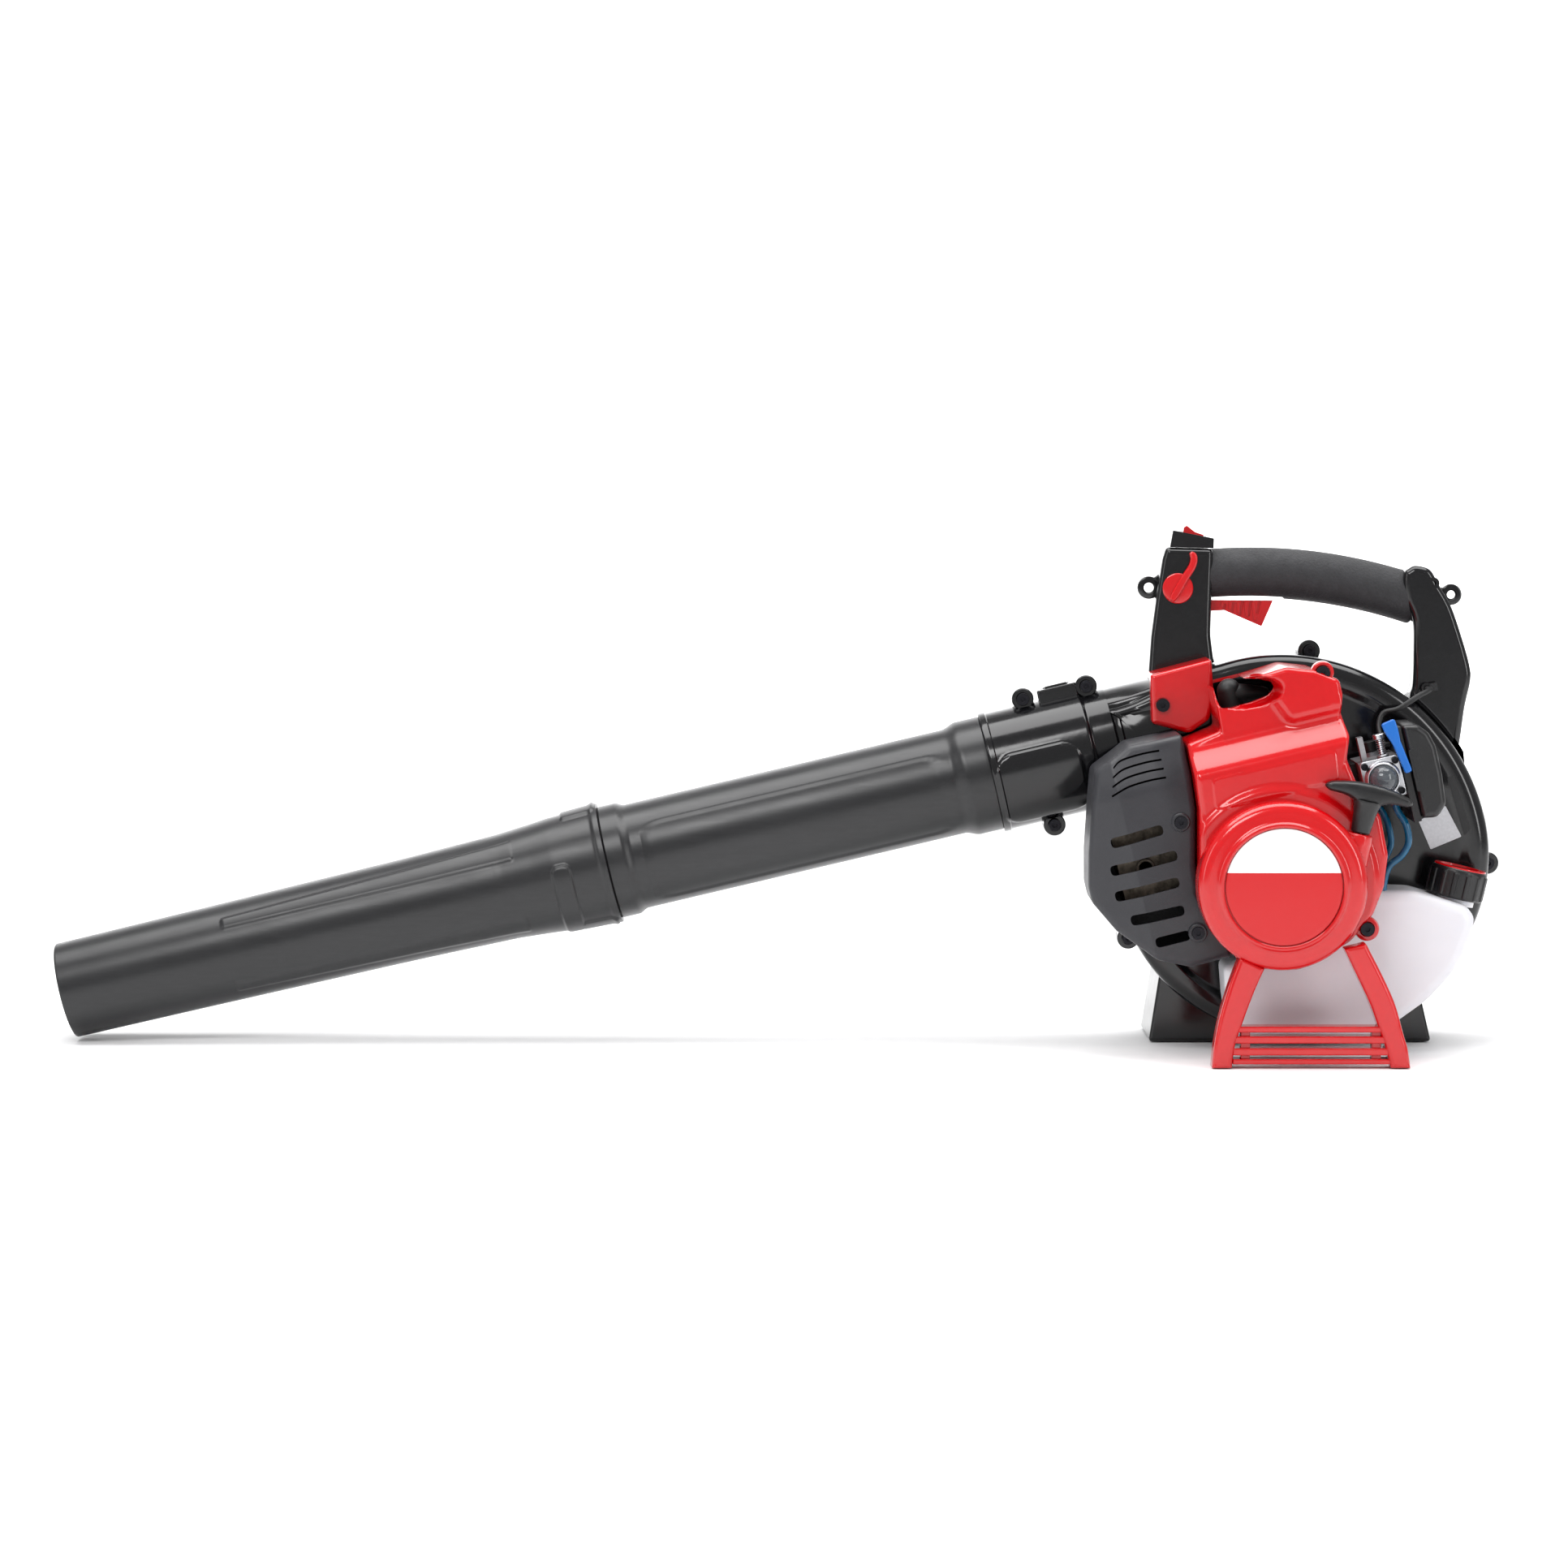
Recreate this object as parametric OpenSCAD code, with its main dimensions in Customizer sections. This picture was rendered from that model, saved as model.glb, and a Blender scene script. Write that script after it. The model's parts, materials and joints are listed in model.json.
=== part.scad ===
// Handheld petrol leaf blower: two-stroke engine on the front of a scroll fan housing,
// a long blow tube in two sections, and a loop handle on top.
// Row frame: +X to the rear (the nozzle points to -X), +Y away from the engine side, +Z up.
// Most pieces are drawn in the machine frame: origin on the crank axis in the fan's middle
// plane, x along the blow tube, tilted so that the nozzle comes down to the ground.

/* [Machine] */
// Height of the crank axis above the ground
crank_h = 134; // [125:1:160]
// Gap between the nozzle's lowest edge and the ground
tip_gap = 1.6; // [1:0.2:10]
// Gap between pieces that are only laid together
seat_gap = 0.2; // [0.1:0.05:0.3]
// Gap between pieces that move past each other
move_gap = 0.4; // [0.3:0.05:0.6]
// Radial gap of a pin or shaft that runs in a bore
run_gap = 0.05; // [0.02:0.01:0.08]

/* [Fan housing] */
// Half the width of the fan housing
housing_half = 46; // [40:1:56]
// Wall of the moulded housings
wall = 2.5; // [2:0.1:3.5]
// Scroll radius where the air path starts
scroll_small = 112; // [108:1:118]
// Scroll radius at the rear
scroll_big = 170; // [160:1:204]
// Radius of the fan wheel
fan_r = 100; // [80:1:104]
// Number of fan blades
blades = 10; // [6:1:14]
// Radius of the air inlet at the back
inlet_r = 60; // [45:1:66]

/* [Blow tube] */
// Height of the tube axis above the crank axis
tube_h = 116.5; // [112:0.5:125]
// Outer radius of the upper tube
tube_r = 40.5; // [36:0.5:44]
// Wall of the blow tube
tube_wall = 2; // [1.5:0.1:3]
// Length of the housing's tube socket
socket_len = 81; // [60:1:100]
// Length of the upper tube that shows
upper_len = 299; // [240:1:360]
// Length of the nozzle
nozzle_len = 428; // [350:1:514]
// Outer radius of the nozzle's end
nozzle_r = 36.7; // [30:0.1:40]

/* [Handle] */
// Width of the handle mouldings
handle_w = 40; // [34:1:48]
// Radius of the foam grip
grip_r = 19; // [16:0.5:21]
// Radius of the handle's core under the foam
core_r = 12; // [10:0.5:13]
// Hole of the front strap loop
front_loop_r = 3.7; // [3:0.1:5]
// Hole of the rear strap loop
rear_loop_r = 3.1; // [2.5:0.1:5]
// Width of the throttle trigger
trigger_w = 10; // [8:0.5:14]

/* [Engine] */
// Cylinder bore
bore = 34; // [28:0.5:34.5]
// Piston stroke
stroke = 28; // [23:0.5:28]
// Connecting rod length between centres
rod_len = 52; // [50:0.5:53]
// Crankshaft diameter in its bearings
shaft_d = 12; // [10:0.5:13]
// Radius of the flywheel
flywheel_r = 50; // [40:1:50]
// Outer radius of the starter drum
drum_r = 62; // [60:0.5:66]
// Radius of the rope groove in the recoil pulley
pulley_r = 30; // [24:0.5:31]
// Starter rope diameter
rope_d = 3; // [2.5:0.1:3.5]
// Radius of the primer bulb
primer_r = 10.5; // [8:0.5:11.5]
// Radius of the fuel cap
cap_r = 21; // [18:0.5:24]
// Height of the fuel cap
cap_len = 24; // [18:0.5:28]

/* [Hidden] */
$fn = 64;

// ---- Blow tube line, in the machine frame ----
duct_half = 43.5;
housing_top = tube_h + duct_half;
mouth_x = -90;
socket_end = -104;
socket_start = socket_end - socket_len;
upper_end = socket_start - upper_len;
nozzle_end = upper_end - nozzle_len;
spigot_len = 78;
spigot_r = tube_r + 2.1;
socket_bore = spigot_r + move_gap;
socket_r = socket_bore + wall;
collar_bore = spigot_r + move_gap;
collar_r = collar_bore + 2.2;
collar_len = 40;

// ---- How the machine stands ----
tip_low = tube_h - nozzle_r;
tip_reach = sqrt(nozzle_end * nozzle_end + tip_low * tip_low);
tilt = asin((crank_h - tip_gap) / tip_reach) + atan2(tip_low, -nozzle_end);
boss_r = 8.5;
rear_boss_a = -12.5;
reach_front = -nozzle_end * cos(tilt) + (tube_h + nozzle_r) * sin(tilt);
reach_rear = scroll_r(rear_boss_a) + 3 + boss_r;
crank_x = (reach_front - reach_rear) / 2;

// ---- Depth stack along y, from the fan's middle plane ----
eng_y = -(housing_half + 29);
case_front = eng_y - 31;
fly_back = case_front - 6;
fly_front = fly_back - 20;
cup_front = fly_front - 9;
pulley_y = fly_front - 16;
starter_front = pulley_y - 17;
badge_front = starter_front - 3;
shroud_front = fly_front - 8;
door_y = housing_half + 6 + move_gap;
foot_back = housing_half + 16;
door_back = door_y + 9;
fan_y = -(badge_front + foot_back) / 2;

// ---- Engine heights above the crank axis ----
shaft_r = shaft_d / 2;
bore_r = bore / 2;
case_top = 36;
pin_bdc = rod_len - stroke / 2;
skirt = 10;
crown = 16;
bore_top = pin_bdc + stroke + crown + 2;
head_top = bore_top + 20;
port_h = 54;
web_r = stroke / 2 + 12;
cavity_r = web_r + 7;
crank_pin_r = 5;
wrist_r = 4;
fin_x = 30;
fin_y = 26;
base_y = 22.5;

// ---- Carburettor side ----
carb_x = 78;
carb_len = 30;
carb_front = eng_y - 37;
air_x = carb_x + carb_len + 0.5;
choke_pivot = [air_x + 3, 60];

// ---- Handle outlines, x from the crank or the scroll's rear, z above the housing top ----
function over(x, h) = [x, housing_top + h];
function rear(dx, h) = [scroll_big + dx, housing_top + h];
front_post = [over(-17.6, 93.8), over(-22, 86.5), over(-33.5, 58), over(-43.5, 31.4),
    over(-51.8, 4.3), over(-51.8, 0.5), over(-1.2, 0.5), over(-1.2, 5.8), over(0.4, 21),
    over(5.1, 39.2), over(17, 84.6)];
rear_post = [rear(-17, 32), rear(-5.8, 36.6), rear(3.3, 31.4), rear(7.2, 19.5), rear(12.7, 1.3),
    rear(15.5, -23.6), rear(16.6, -45.8), rear(14.8, -57.5), rear(6.2, -76), rear(-8, -110),
    rear(-44, -70), rear(-34.4, -59.7), rear(-28.4, -49.6), rear(-22.6, -26.6), rear(-18, -3.6)];
grip_a = over(11, 66);
grip_b = [(11 + scroll_big - 14) / 2, housing_top + 47.4];
grip_c = rear(-14, 12.5);
trigger_pivot = over(-8, 46);
cruise_pivot = over(-16.2, 62);
rocker_pivot = over(4.8, 97.2);
rocker_lean = -24.5;
front_loop = over(-36.2, 66.5);
rear_loop = rear(16.4, 8.4);
exit_hole = rear(-20, -55);

// ---- Starter rope line, in the machine frame ----
rope_exit = [64.2, 23.6];
pull_a = 64.1;
rope_tangent_a = atan2(rope_exit.y, rope_exit.x) - acos(pulley_r / norm(rope_exit));

function scroll_r(a) = a > 0
    ? scroll_big - (scroll_big - housing_top) * pow(a / 90, 2)
    : scroll_small + (scroll_big - scroll_small) * (1 - cos(180 * pow((a + 220) / 220, 1.8))) / 2;

function polar(r, a) = [r * cos(a), r * sin(a)];
function to_tilted(p) = [p.x * cos(tilt) + p.y * sin(tilt), p.y * cos(tilt) - p.x * sin(tilt)];

// Centre of the circle through three points
function circle_centre(a, b, c) =
    let (d = 2 * (a.x * (b.y - c.y) + b.x * (c.y - a.y) + c.x * (a.y - b.y)),
        aa = a * a, bb = b * b, cc = c * c)
    [(aa * (b.y - c.y) + bb * (c.y - a.y) + cc * (a.y - b.y)) / d,
        (aa * (c.x - b.x) + bb * (a.x - c.x) + cc * (b.x - a.x)) / d];

// Points of a smooth curve through a route, n steps for each span
function spline(p, n) = [for (i = [0 : len(p) - 2]) let (
        a = p[max(i - 1, 0)], b = p[i], c = p[i + 1], d = p[min(i + 2, len(p) - 1)])
    for (k = [0 : n - (i == len(p) - 2 ? 0 : 1)]) let (t = k / n)
        0.5 * (2 * b + (c - a) * t + (2 * a - 5 * b + 4 * c - d) * t * t
            + (3 * b - a - 3 * c + d) * t * t * t)];

function unit(v) = v / norm(v);
function course(p, i) = unit(p[min(i + 1, len(p) - 1)] - p[max(i - 1, 0)]);
function side_on(v) = unit(cross(v, abs(v.y) < 0.9 ? [0, 1, 0] : [1, 0, 0]));

// Round tube swept along a list of points
module sweep(p, r, sides = 8) {
    rings = [for (i = [0 : len(p) - 1]) let (t = course(p, i), u = side_on(t), v = cross(t, u))
        for (k = [0 : sides - 1]) p[i] + r * (cos(360 * k / sides) * u + sin(360 * k / sides) * v)];
    last = len(p) - 1;
    polyhedron(rings, concat(
        [[for (k = [0 : sides - 1]) k]],
        [for (i = [0 : last - 1]) for (k = [0 : sides - 1])
            [i * sides + k, (i + 1) * sides + k, (i + 1) * sides + (k + 1) % sides,
                i * sides + (k + 1) % sides]],
        [[for (k = [sides - 1 : -1 : 0]) last * sides + k]]));
}

// ---- Frames and simple solids ----
module level() translate([crank_x, fan_y, crank_h]) children();
module tilted() level() rotate([0, -tilt, 0]) children();
// Flat outline in x and z, from y0 to y1
module slab(y0, y1) translate([0, y1, 0]) rotate([90, 0, 0]) linear_extrude(y1 - y0) children();
// Flat outline in y and z, from x0 to x1
module bar(x0, x1) translate([x0, 0, 0]) rotate([90, 0, 90]) linear_extrude(x1 - x0) children();
module rod_y(r, y0, y1, p = [0, 0]) translate([p.x, y1, p.y]) rotate([90, 0, 0])
    cylinder(r = r, h = y1 - y0);
module rod_x(r, x0, x1, p = [0, 0]) translate([x0, p.x, p.y]) rotate([0, 90, 0])
    cylinder(r = r, h = x1 - x0);
module rod_z(r, z0, z1, p = [0, 0]) translate([p.x, p.y, z0]) cylinder(r = r, h = z1 - z0);
module box(x0, x1, y0, y1, z0, z1) translate([x0, y0, z0]) cube([x1 - x0, y1 - y0, z1 - z0]);
module half(front) box(-1500, 700, front ? -300 : 0, front ? 0 : 300, -400, 500);

module screw(p, y_head, length, r = 2.1, head = 4.6) {
    rod_y(r, y_head, y_head + length, p);
    difference() {
        rod_y(head, y_head - 3.4, y_head, p);
        translate([p.x, y_head - 3.5, p.y]) rotate([-90, 0, 0]) cylinder(r = 2, h = 2, $fn = 6);
    }
}

// ---- Fan housing ----
seam_bosses = [polar(scroll_r(65) + 3, 65), polar(scroll_r(rear_boss_a) + 3, rear_boss_a),
    polar(scroll_r(-165) + 3, -165), [socket_end - 45, tube_h + socket_r + 4.5],
    [socket_end + 4, tube_h + socket_r + 3], [socket_end - 43, tube_h - socket_r - 3.5]];
case_bolts = [for (a = [45, 135, 225, 315]) polar(46, a)];

module scroll_2d(inset) polygon(concat(
    [for (a = [-220 : 6 : 86]) polar(scroll_r(a) - inset, a)],
    [[0, housing_top - inset], [mouth_x + inset, housing_top - inset],
        [mouth_x + inset, tube_h - duct_half + inset]]));

// Base block under the scroll, in the level frame
foot_2d = [[-87, -crank_h], [129, -crank_h], [114, -76], [-77, -76]];

module volute_solid(front) {
    edge = front ? -housing_half : 0;
    tilted() {
        slab(edge, edge + housing_half) scroll_2d(0);
        intersection() {
            union() {
                rod_x(duct_half - 2, socket_end - 1, mouth_x + 1, [0, tube_h]);
                rod_x(socket_r, socket_start, socket_end, [0, tube_h]);
                latch_block();
            }
            half(front);
        }
        for (p = seam_bosses) rod_y(boss_r, front ? -12 : 0, front ? 0 : 12, p);
    }
    level() slab(front ? -20 : 0, front ? 0 : foot_back) polygon(foot_2d);
}

module latch_block() box(latch_x - 15, latch_x + 15, -12, 12, tube_h, latch_top);
latch_x = socket_end - 18;
latch_top = tube_h + socket_r + 8;

module volute_cavity() {
    tilted() {
        slab(-housing_half + wall, housing_half - wall) scroll_2d(wall);
        rod_x(duct_half - 2 - wall, socket_end - spigot_len, mouth_x + 10, [0, tube_h]);
        rod_x(socket_bore, socket_start - 1, socket_end - wall, [0, tube_h]);
        box(latch_x - 9, latch_x + 9, -7, 7, tube_h, latch_top + 1);
        for (p = seam_bosses) {
            rod_y(2.2, -13, 13, p);
            rod_y(5.1, -60, -12, p);
        }
    }
    level() for (s = [-1, 1]) {
        slab(s > 0 ? wall : 1 - 20 + wall, s > 0 ? foot_back - wall : -wall)
            intersection() {
                offset(delta = -3) polygon(foot_2d);
                difference() {
                    square([400, 400], center = true);
                    rotate(tilt) scroll_2d(-3);
                }
            }
    }
}

module volute_front() color("#151417") difference() {
    volute_solid(true);
    volute_cavity();
    tilted() {
        rod_y(shaft_r + 6, -housing_half - 1, 0);
        for (p = case_bolts) rod_y(2.6, -housing_half - 1, 0, p);
    }
}

hinge_h = inlet_r + 14;
hinge_y = door_y + 2.5;
module volute_back() color("#151417") difference() {
    union() {
        difference() {
            union() {
                volute_solid(false);
                tilted() rod_y(inlet_r + 5, housing_half - 1, housing_half + 6);
            }
            volute_cavity();
            tilted() rod_y(inlet_r, 0, housing_half + 7);
        }
        tilted() for (s = [-1, 1]) intersection() {
            translate([s > 0 ? 12 : -18, 0, 0]) bar(0, 6) hull() {
                translate([hinge_y, hinge_h]) circle(r = 5.5);
                translate([housing_half - 1, hinge_h - 9]) square([1, 18]);
            }
            box(-20, 20, housing_half - wall, 90, 0, 200);
        }
    }
    tilted() rod_x(2.5 + run_gap, -19, 19, [hinge_y, hinge_h]);
}

module housing_screws() color("#2b2b2e") tilted() {
    for (p = seam_bosses) screw(p, -12, 22);
    for (p = case_bolts) mirror([0, 1, 0]) screw(p, housing_half - wall, 9, 2.4, 5);
}

// ---- Blow tube ----
// Outline of a round tube: pairs of distance along the tube and radius, outer then inner
module turned(profile) rotate([0, 90, 0]) rotate_extrude()
    polygon([for (p = profile) [p.y, p.x]]);

module upper_tube() color("#2a292e") tilted() translate([0, 0, tube_h]) difference() {
    turned([
        [socket_start + spigot_len - 3, spigot_r], [socket_start - seat_gap, spigot_r],
        [socket_start - seat_gap, spigot_r + 1.4], [socket_start - 18, spigot_r + 1.4],
        [socket_start - 24, tube_r],
        [upper_end + 20, tube_r], [upper_end + 14, spigot_r + 0.8], [upper_end + 1, spigot_r + 0.8],
        [upper_end, spigot_r], [upper_end - collar_len + 4, spigot_r],
        [upper_end - collar_len + 4, spigot_r - tube_wall], [upper_end + 14, spigot_r - tube_wall],
        [upper_end + 22, tube_r - tube_wall], [socket_start - 24, tube_r - tube_wall],
        [socket_start - 14, spigot_r - tube_wall],
        [socket_start + spigot_len - 3, spigot_r - tube_wall]]);
    box(latch_x - 9, latch_x + 9, -8, 8, 0, 60);
}

module nozzle() color("#2a292e") tilted() translate([0, 0, tube_h]) union() {
    turned([
        [upper_end - move_gap, collar_bore], [upper_end - move_gap, collar_r + 1.2],
        [upper_end - 5, collar_r + 1.2], [upper_end - 5.5, collar_r],
        [upper_end - collar_len, collar_r - 1.6], [upper_end - 80, tube_r + 0.5],
        [nozzle_end + 30, nozzle_r], [nozzle_end, nozzle_r],
        [nozzle_end, nozzle_r - tube_wall], [nozzle_end + 30, nozzle_r - tube_wall],
        [upper_end - 80, tube_r + 0.5 - tube_wall], [upper_end - collar_len, collar_bore]]);
    box(upper_end - 36, upper_end - 3, -9, 9, collar_r - 1.5, collar_r + 3);
    rotate([125, 0, 0]) box(upper_end - 44, upper_end - 10, -16, 16, collar_r - 1.5, collar_r + 2);
}

module tube_latch() color("#151417") tilted() {
    box(latch_x - 9 + move_gap, latch_x + 9 - move_gap, -7 + move_gap, 7 - move_gap,
        tube_h + spigot_r - tube_wall, latch_top + 1.5);
}

// ---- Handle ----
grip_centre = circle_centre(grip_a, grip_b, grip_c);
grip_arc_r = norm(grip_a - grip_centre);
function grip_angle(p) = atan2(p.y - grip_centre.y, p.x - grip_centre.x);
foam_from = grip_angle(grip_c);
foam_to = grip_angle(grip_a);

// Round bar along the grip's arc between two angles
module grip_bar(r, from, to) translate([grip_centre.x, 0, grip_centre.y]) rotate([90, 0, 0])
    rotate([0, 0, from]) rotate_extrude(angle = to - from, $fn = 180)
        translate([grip_arc_r, 0]) circle(r = r, $fn = 48);

module trigger_slot() slab(-trigger_w / 2 - 1.5, trigger_w / 2 + 1.5) polygon([
    trigger_pivot + [-12, 12], trigger_pivot + [8, 11], trigger_pivot + [68, 5],
    trigger_pivot + [66, -40], trigger_pivot + [-6, -14]]);

module loop_2d(p, hole, toward) difference() {
    hull() {
        translate(p) circle(r = hole + 5);
        translate(toward) circle(r = hole + 3);
    }
    translate(p) circle(r = hole);
}

module handle_half(front) difference() {
    intersection() {
        union() {
            slab(-handle_w / 2, handle_w / 2) {
                polygon(front_post);
                difference() {
                    polygon(rear_post);
                    scroll_2d(-seat_gap);
                }
            }
            grip_bar(core_r, foam_from - 0.6, foam_to + 0.6);
            slab(-4, 4) {
                loop_2d(front_loop, front_loop_r, front_loop + [12, 0]);
                loop_2d(rear_loop, rear_loop_r, rear_loop - [12, 0]);
            }
        }
        half(front);
    }
    slab(-handle_w / 2 + wall, handle_w / 2 - wall) {
        offset(delta = -wall) polygon(front_post);
        offset(delta = -wall) difference() {
            polygon(rear_post);
            scroll_2d(-seat_gap);
        }
    }
    grip_bar(core_r - 4, foam_from - 2, foam_to + 1.6);
    trigger_slot();
    for (p = [front_loop, rear_loop]) rod_y(p == front_loop ? front_loop_r : rear_loop_r, -5, 5, p);
    if (front) {
        rod_y(4 + run_gap, -handle_w, -4, cruise_pivot);
        rod_y(3.4, -handle_w, -4, exit_hole);
    }
}

module handle_left() color("#151417") tilted() handle_half(true);
module handle_right() color("#151417") tilted() handle_half(false);

module foam_grip() color("#33333a") tilted() difference() {
    grip_bar(grip_r, foam_from + 0.05, foam_to - 0.05);
    grip_bar(core_r + seat_gap, foam_from - 1, foam_to + 1);
    trigger_slot();
    slab(-handle_w, handle_w) {
        offset(delta = seat_gap) polygon(front_post);
        offset(delta = seat_gap) polygon(rear_post);
    }
}

module switch_panel() color("#151417") tilted() difference() {
    slab(-handle_w / 2 + 2, handle_w / 2 - 2) polygon([
        over(-14.7, 93.6), over(-9.6, 105.4), over(19.2, 92.3), over(17.3, 85)]);
    rocker_frame() {
        box(-10.4, 10.4, -7.6, 7.6, -20, 20);
        rod_y(1.5 + run_gap, -11, 11, [0, -2]);
    }
}

// Frame of the stop switch: on the panel's slope, x down the slope, z out of it
module rocker_frame() translate([rocker_pivot.x, 0, rocker_pivot.y]) rotate([0, -rocker_lean, 0])
    children();

module stop_switch() color("#e31e24") tilted() rocker_frame() {
    slab(-7.2, 7.2) polygon([[-7, -5], [7, -5], [8, 2.5], [1, 3.4], [-6, 7], [-8, 5]]);
    rod_y(1.5, -10.5, 10.5, [0, -2]);
}

module cruise_lever() color("#e31e24") tilted() {
    face = -handle_w / 2 - move_gap;
    rod_y(11.6, face - 4, face, cruise_pivot);
    rod_y(4, face - 1, -handle_w / 2 + 5, cruise_pivot);
    slab(face - 4, face) translate(cruise_pivot) rotate(47.8) {
        translate([0, -2.7]) square([24, 5.4]);
        translate([24, 0]) circle(r = 2.7);
    }
}

module throttle_trigger() color("#e31e24") tilted() difference() {
    slab(-trigger_w / 2, trigger_w / 2) polygon([
        trigger_pivot + [-5, 4.5], trigger_pivot + [-5, -5], trigger_pivot + [14.8, -7.7],
        trigger_pivot + [23.6, -9.3], trigger_pivot + [48.5, -27.8], trigger_pivot + [61.3, -10.6],
        trigger_pivot + [16.3, 0.4], trigger_pivot + [6, 5]]);
    rod_y(2.5 + run_gap, -10, 10, trigger_pivot);
    for (i = [0 : 4]) for (s = [-1, 1]) translate([trigger_pivot.x + 22 + 7 * i, s * trigger_w / 2,
        trigger_pivot.y - 12]) rotate([0, 24, 0]) cube([2.2, 2.4, 16 - i], center = true);
}

module trigger_pin() color("#b8b8bc") tilted()
    rod_y(2.5, -handle_w / 2 + wall, handle_w / 2 - wall, trigger_pivot);

module trigger_spring() color("#b8b8bc") tilted() {
    coil = [for (i = [0 : 40]) let (a = 36 * i)
        [trigger_pivot.x + 4.2 * cos(a), trigger_w / 2 + 1.5 + 0.16 * i, trigger_pivot.y + 4.2 * sin(a)]];
    sweep(concat([[trigger_pivot.x + 4.2, trigger_w / 2 + 1.5, trigger_pivot.y - 9]], coil,
        [[trigger_pivot.x + 4.2, trigger_w / 2 + 7.9, trigger_pivot.y + 10]]), 0.6, 6);
}

// The cable runs from the trigger through the grip's core, down the rear post and out to
// the carburettor's throttle lever
module throttle_cable() color("#1b1b1e") tilted() {
    arc = [for (i = [0 : 9]) let (a = foam_to + (foam_from - foam_to) * i / 9)
        [grip_centre.x + grip_arc_r * cos(a), 0, grip_centre.y + grip_arc_r * sin(a)]];
    down = [[scroll_big - 2, 0, housing_top - 6], [scroll_big - 2, 0, housing_top - 30],
        [exit_hole.x + 6, -2, exit_hole.y + 8], [exit_hole.x, -12, exit_hole.y],
        [exit_hole.x, -28, exit_hole.y], [exit_hole.x, 4 - housing_half, exit_hole.y],
        [exit_hole.x - 12, -housing_half - 8, exit_hole.y - 2],
        [air_x + 14, -housing_half - 11, 98], [air_x + 2, -housing_half - 9, 97],
        [cable_end.x, eng_y + 16, 88], [cable_end.x, cable_end.y, port_h + 21.5]];
    sweep(spline(concat(arc, down), 3), 2, 8);
}
cable_end = [carb_x + 26.5, eng_y + 4.6 + move_gap];

module cable_tie() color("#1b1b1e") tilted() translate([exit_hole.x, -handle_w / 2 - 2, exit_hole.y]) {
    difference() {
        union() {
            rod_y(4, -5, -1);
            box(2.2, 8, -6, 0, -3, 3);
        }
        rod_y(2.3, -7, 1);
    }
}

module bracket_2d() polygon([over(-53.5, 5.8), over(-6.2, 6.8), over(-10.9, -22.2),
    over(-17.8, -37.1), over(-35, -44), over(-60.6, -30.1)]);

bracket_front = -housing_half - 16;
module handle_bracket() color("#e31e24") tilted() difference() {
    union() {
        slab(bracket_front, -housing_half - seat_gap) bracket_2d();
        slab(-housing_half - 1, -handle_w / 2 - seat_gap) polygon([over(-53.5, 5.8),
            over(-6.2, 6.8), over(-6.9, 0.8), over(-54.5, 0.8)]);
    }
    slab(bracket_front + wall, -housing_half + 1) offset(delta = -wall) bracket_2d();
    rod_y(2.3, bracket_front - 1, -housing_half, bracket_screw);
}
bracket_screw = over(-49.7, -18.2);

// ---- Engine covers ----
guard_right = [[-43.5, -47.7], [-54, -18], [-58, 0], [-55.7, 25], [-46.3, 65.8], [-44, 90],
    [-43, 121]];
guard_2d_points = concat(guard_right, [[-85, 122], [-95, 116.5], [-113, 108.7], [-119, 90],
    [-131, 50], [-136.5, 26], [-136.5, 16], [-124, -10], [-99, -38], [-76, -48.5]]);
shroud_2d_points = concat([[-14, 151], [12, 151], [41, 153], [61, 146], [77, 135], [77, 124],
    [73, 111], [74, 94], [68, 78], [71, 60], [83, 31], [82, 2], [74, -20], [62, -38],
    [40, -54], [0, -66], [-30, -58]], [for (i = [0 : 5]) guard_right[i] + [0.6, 0]],
    [[-42.4, 115]]);

module shroud_side(inset) {
    f = shroud_front + inset;
    polygon([[f, -80], [f, 92], [f + 17, 110], [f + 20, 152.5 - inset],
        [eng_y + 26, 152.5 - inset], [eng_y + 26, 24], [fly_back - 1 + 3 * inset, 14],
        [fly_back - 1 + 3 * inset, -80]]);
}

module engine_shroud() color("#e31e24") tilted() difference() {
    union() {
        intersection() {
            slab(-200, 0) polygon(shroud_2d_points);
            bar(-200, 200) shroud_side(0);
        }
        rod_y(9, shroud_front, shroud_front + 12, shroud_lobes[1]);
    }
    intersection() {
        slab(-200, 0) offset(delta = -wall) polygon(shroud_2d_points);
        bar(-200, 200) union() {
            shroud_side(wall);
            translate([eng_y + 20, 10]) square([20, 142.5 - wall]);
            translate([fly_back - 8, 10]) square([60, 30]);
            translate([fly_back - 8, -80]) square([20, 110]);
        }
    }
    rod_y(drum_r + seat_gap, -200, drum_back + seat_gap);
    rod_y(8 + seat_gap, -200, drum_back + seat_gap, drum_lobe);
    slab(-200, eng_y + 40) offset(delta = 0.5) bracket_2d();
    rod_y(9.2, shroud_front - 1, shroud_front + 6, [-50.5, 21.4]);
    // Openings for the intake, the exhaust, the plug boot and the guide lobe of the rope
    box(60, 100, carb_front - 4, 0, 26, 80);
    box(-80, -30, eng_y - 26, 0, 30, 82);
    box(-16, 30, eng_y - 20, eng_y + 18, 140, 160);
    translate([rope_exit.x, pulley_y, rope_exit.y]) rotate([0, 90 - pull_a, 0])
        rod_z(9 + seat_gap, -14, 60);
    for (p = shroud_lobes) rod_y(2.3, -200, -50, p);
}
shroud_lobes = [[66.4, 142.8], [54.6, -47.4]];
drum_lobe = [-34.1, -49.2];
drum_back = shroud_front + 6;

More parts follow.
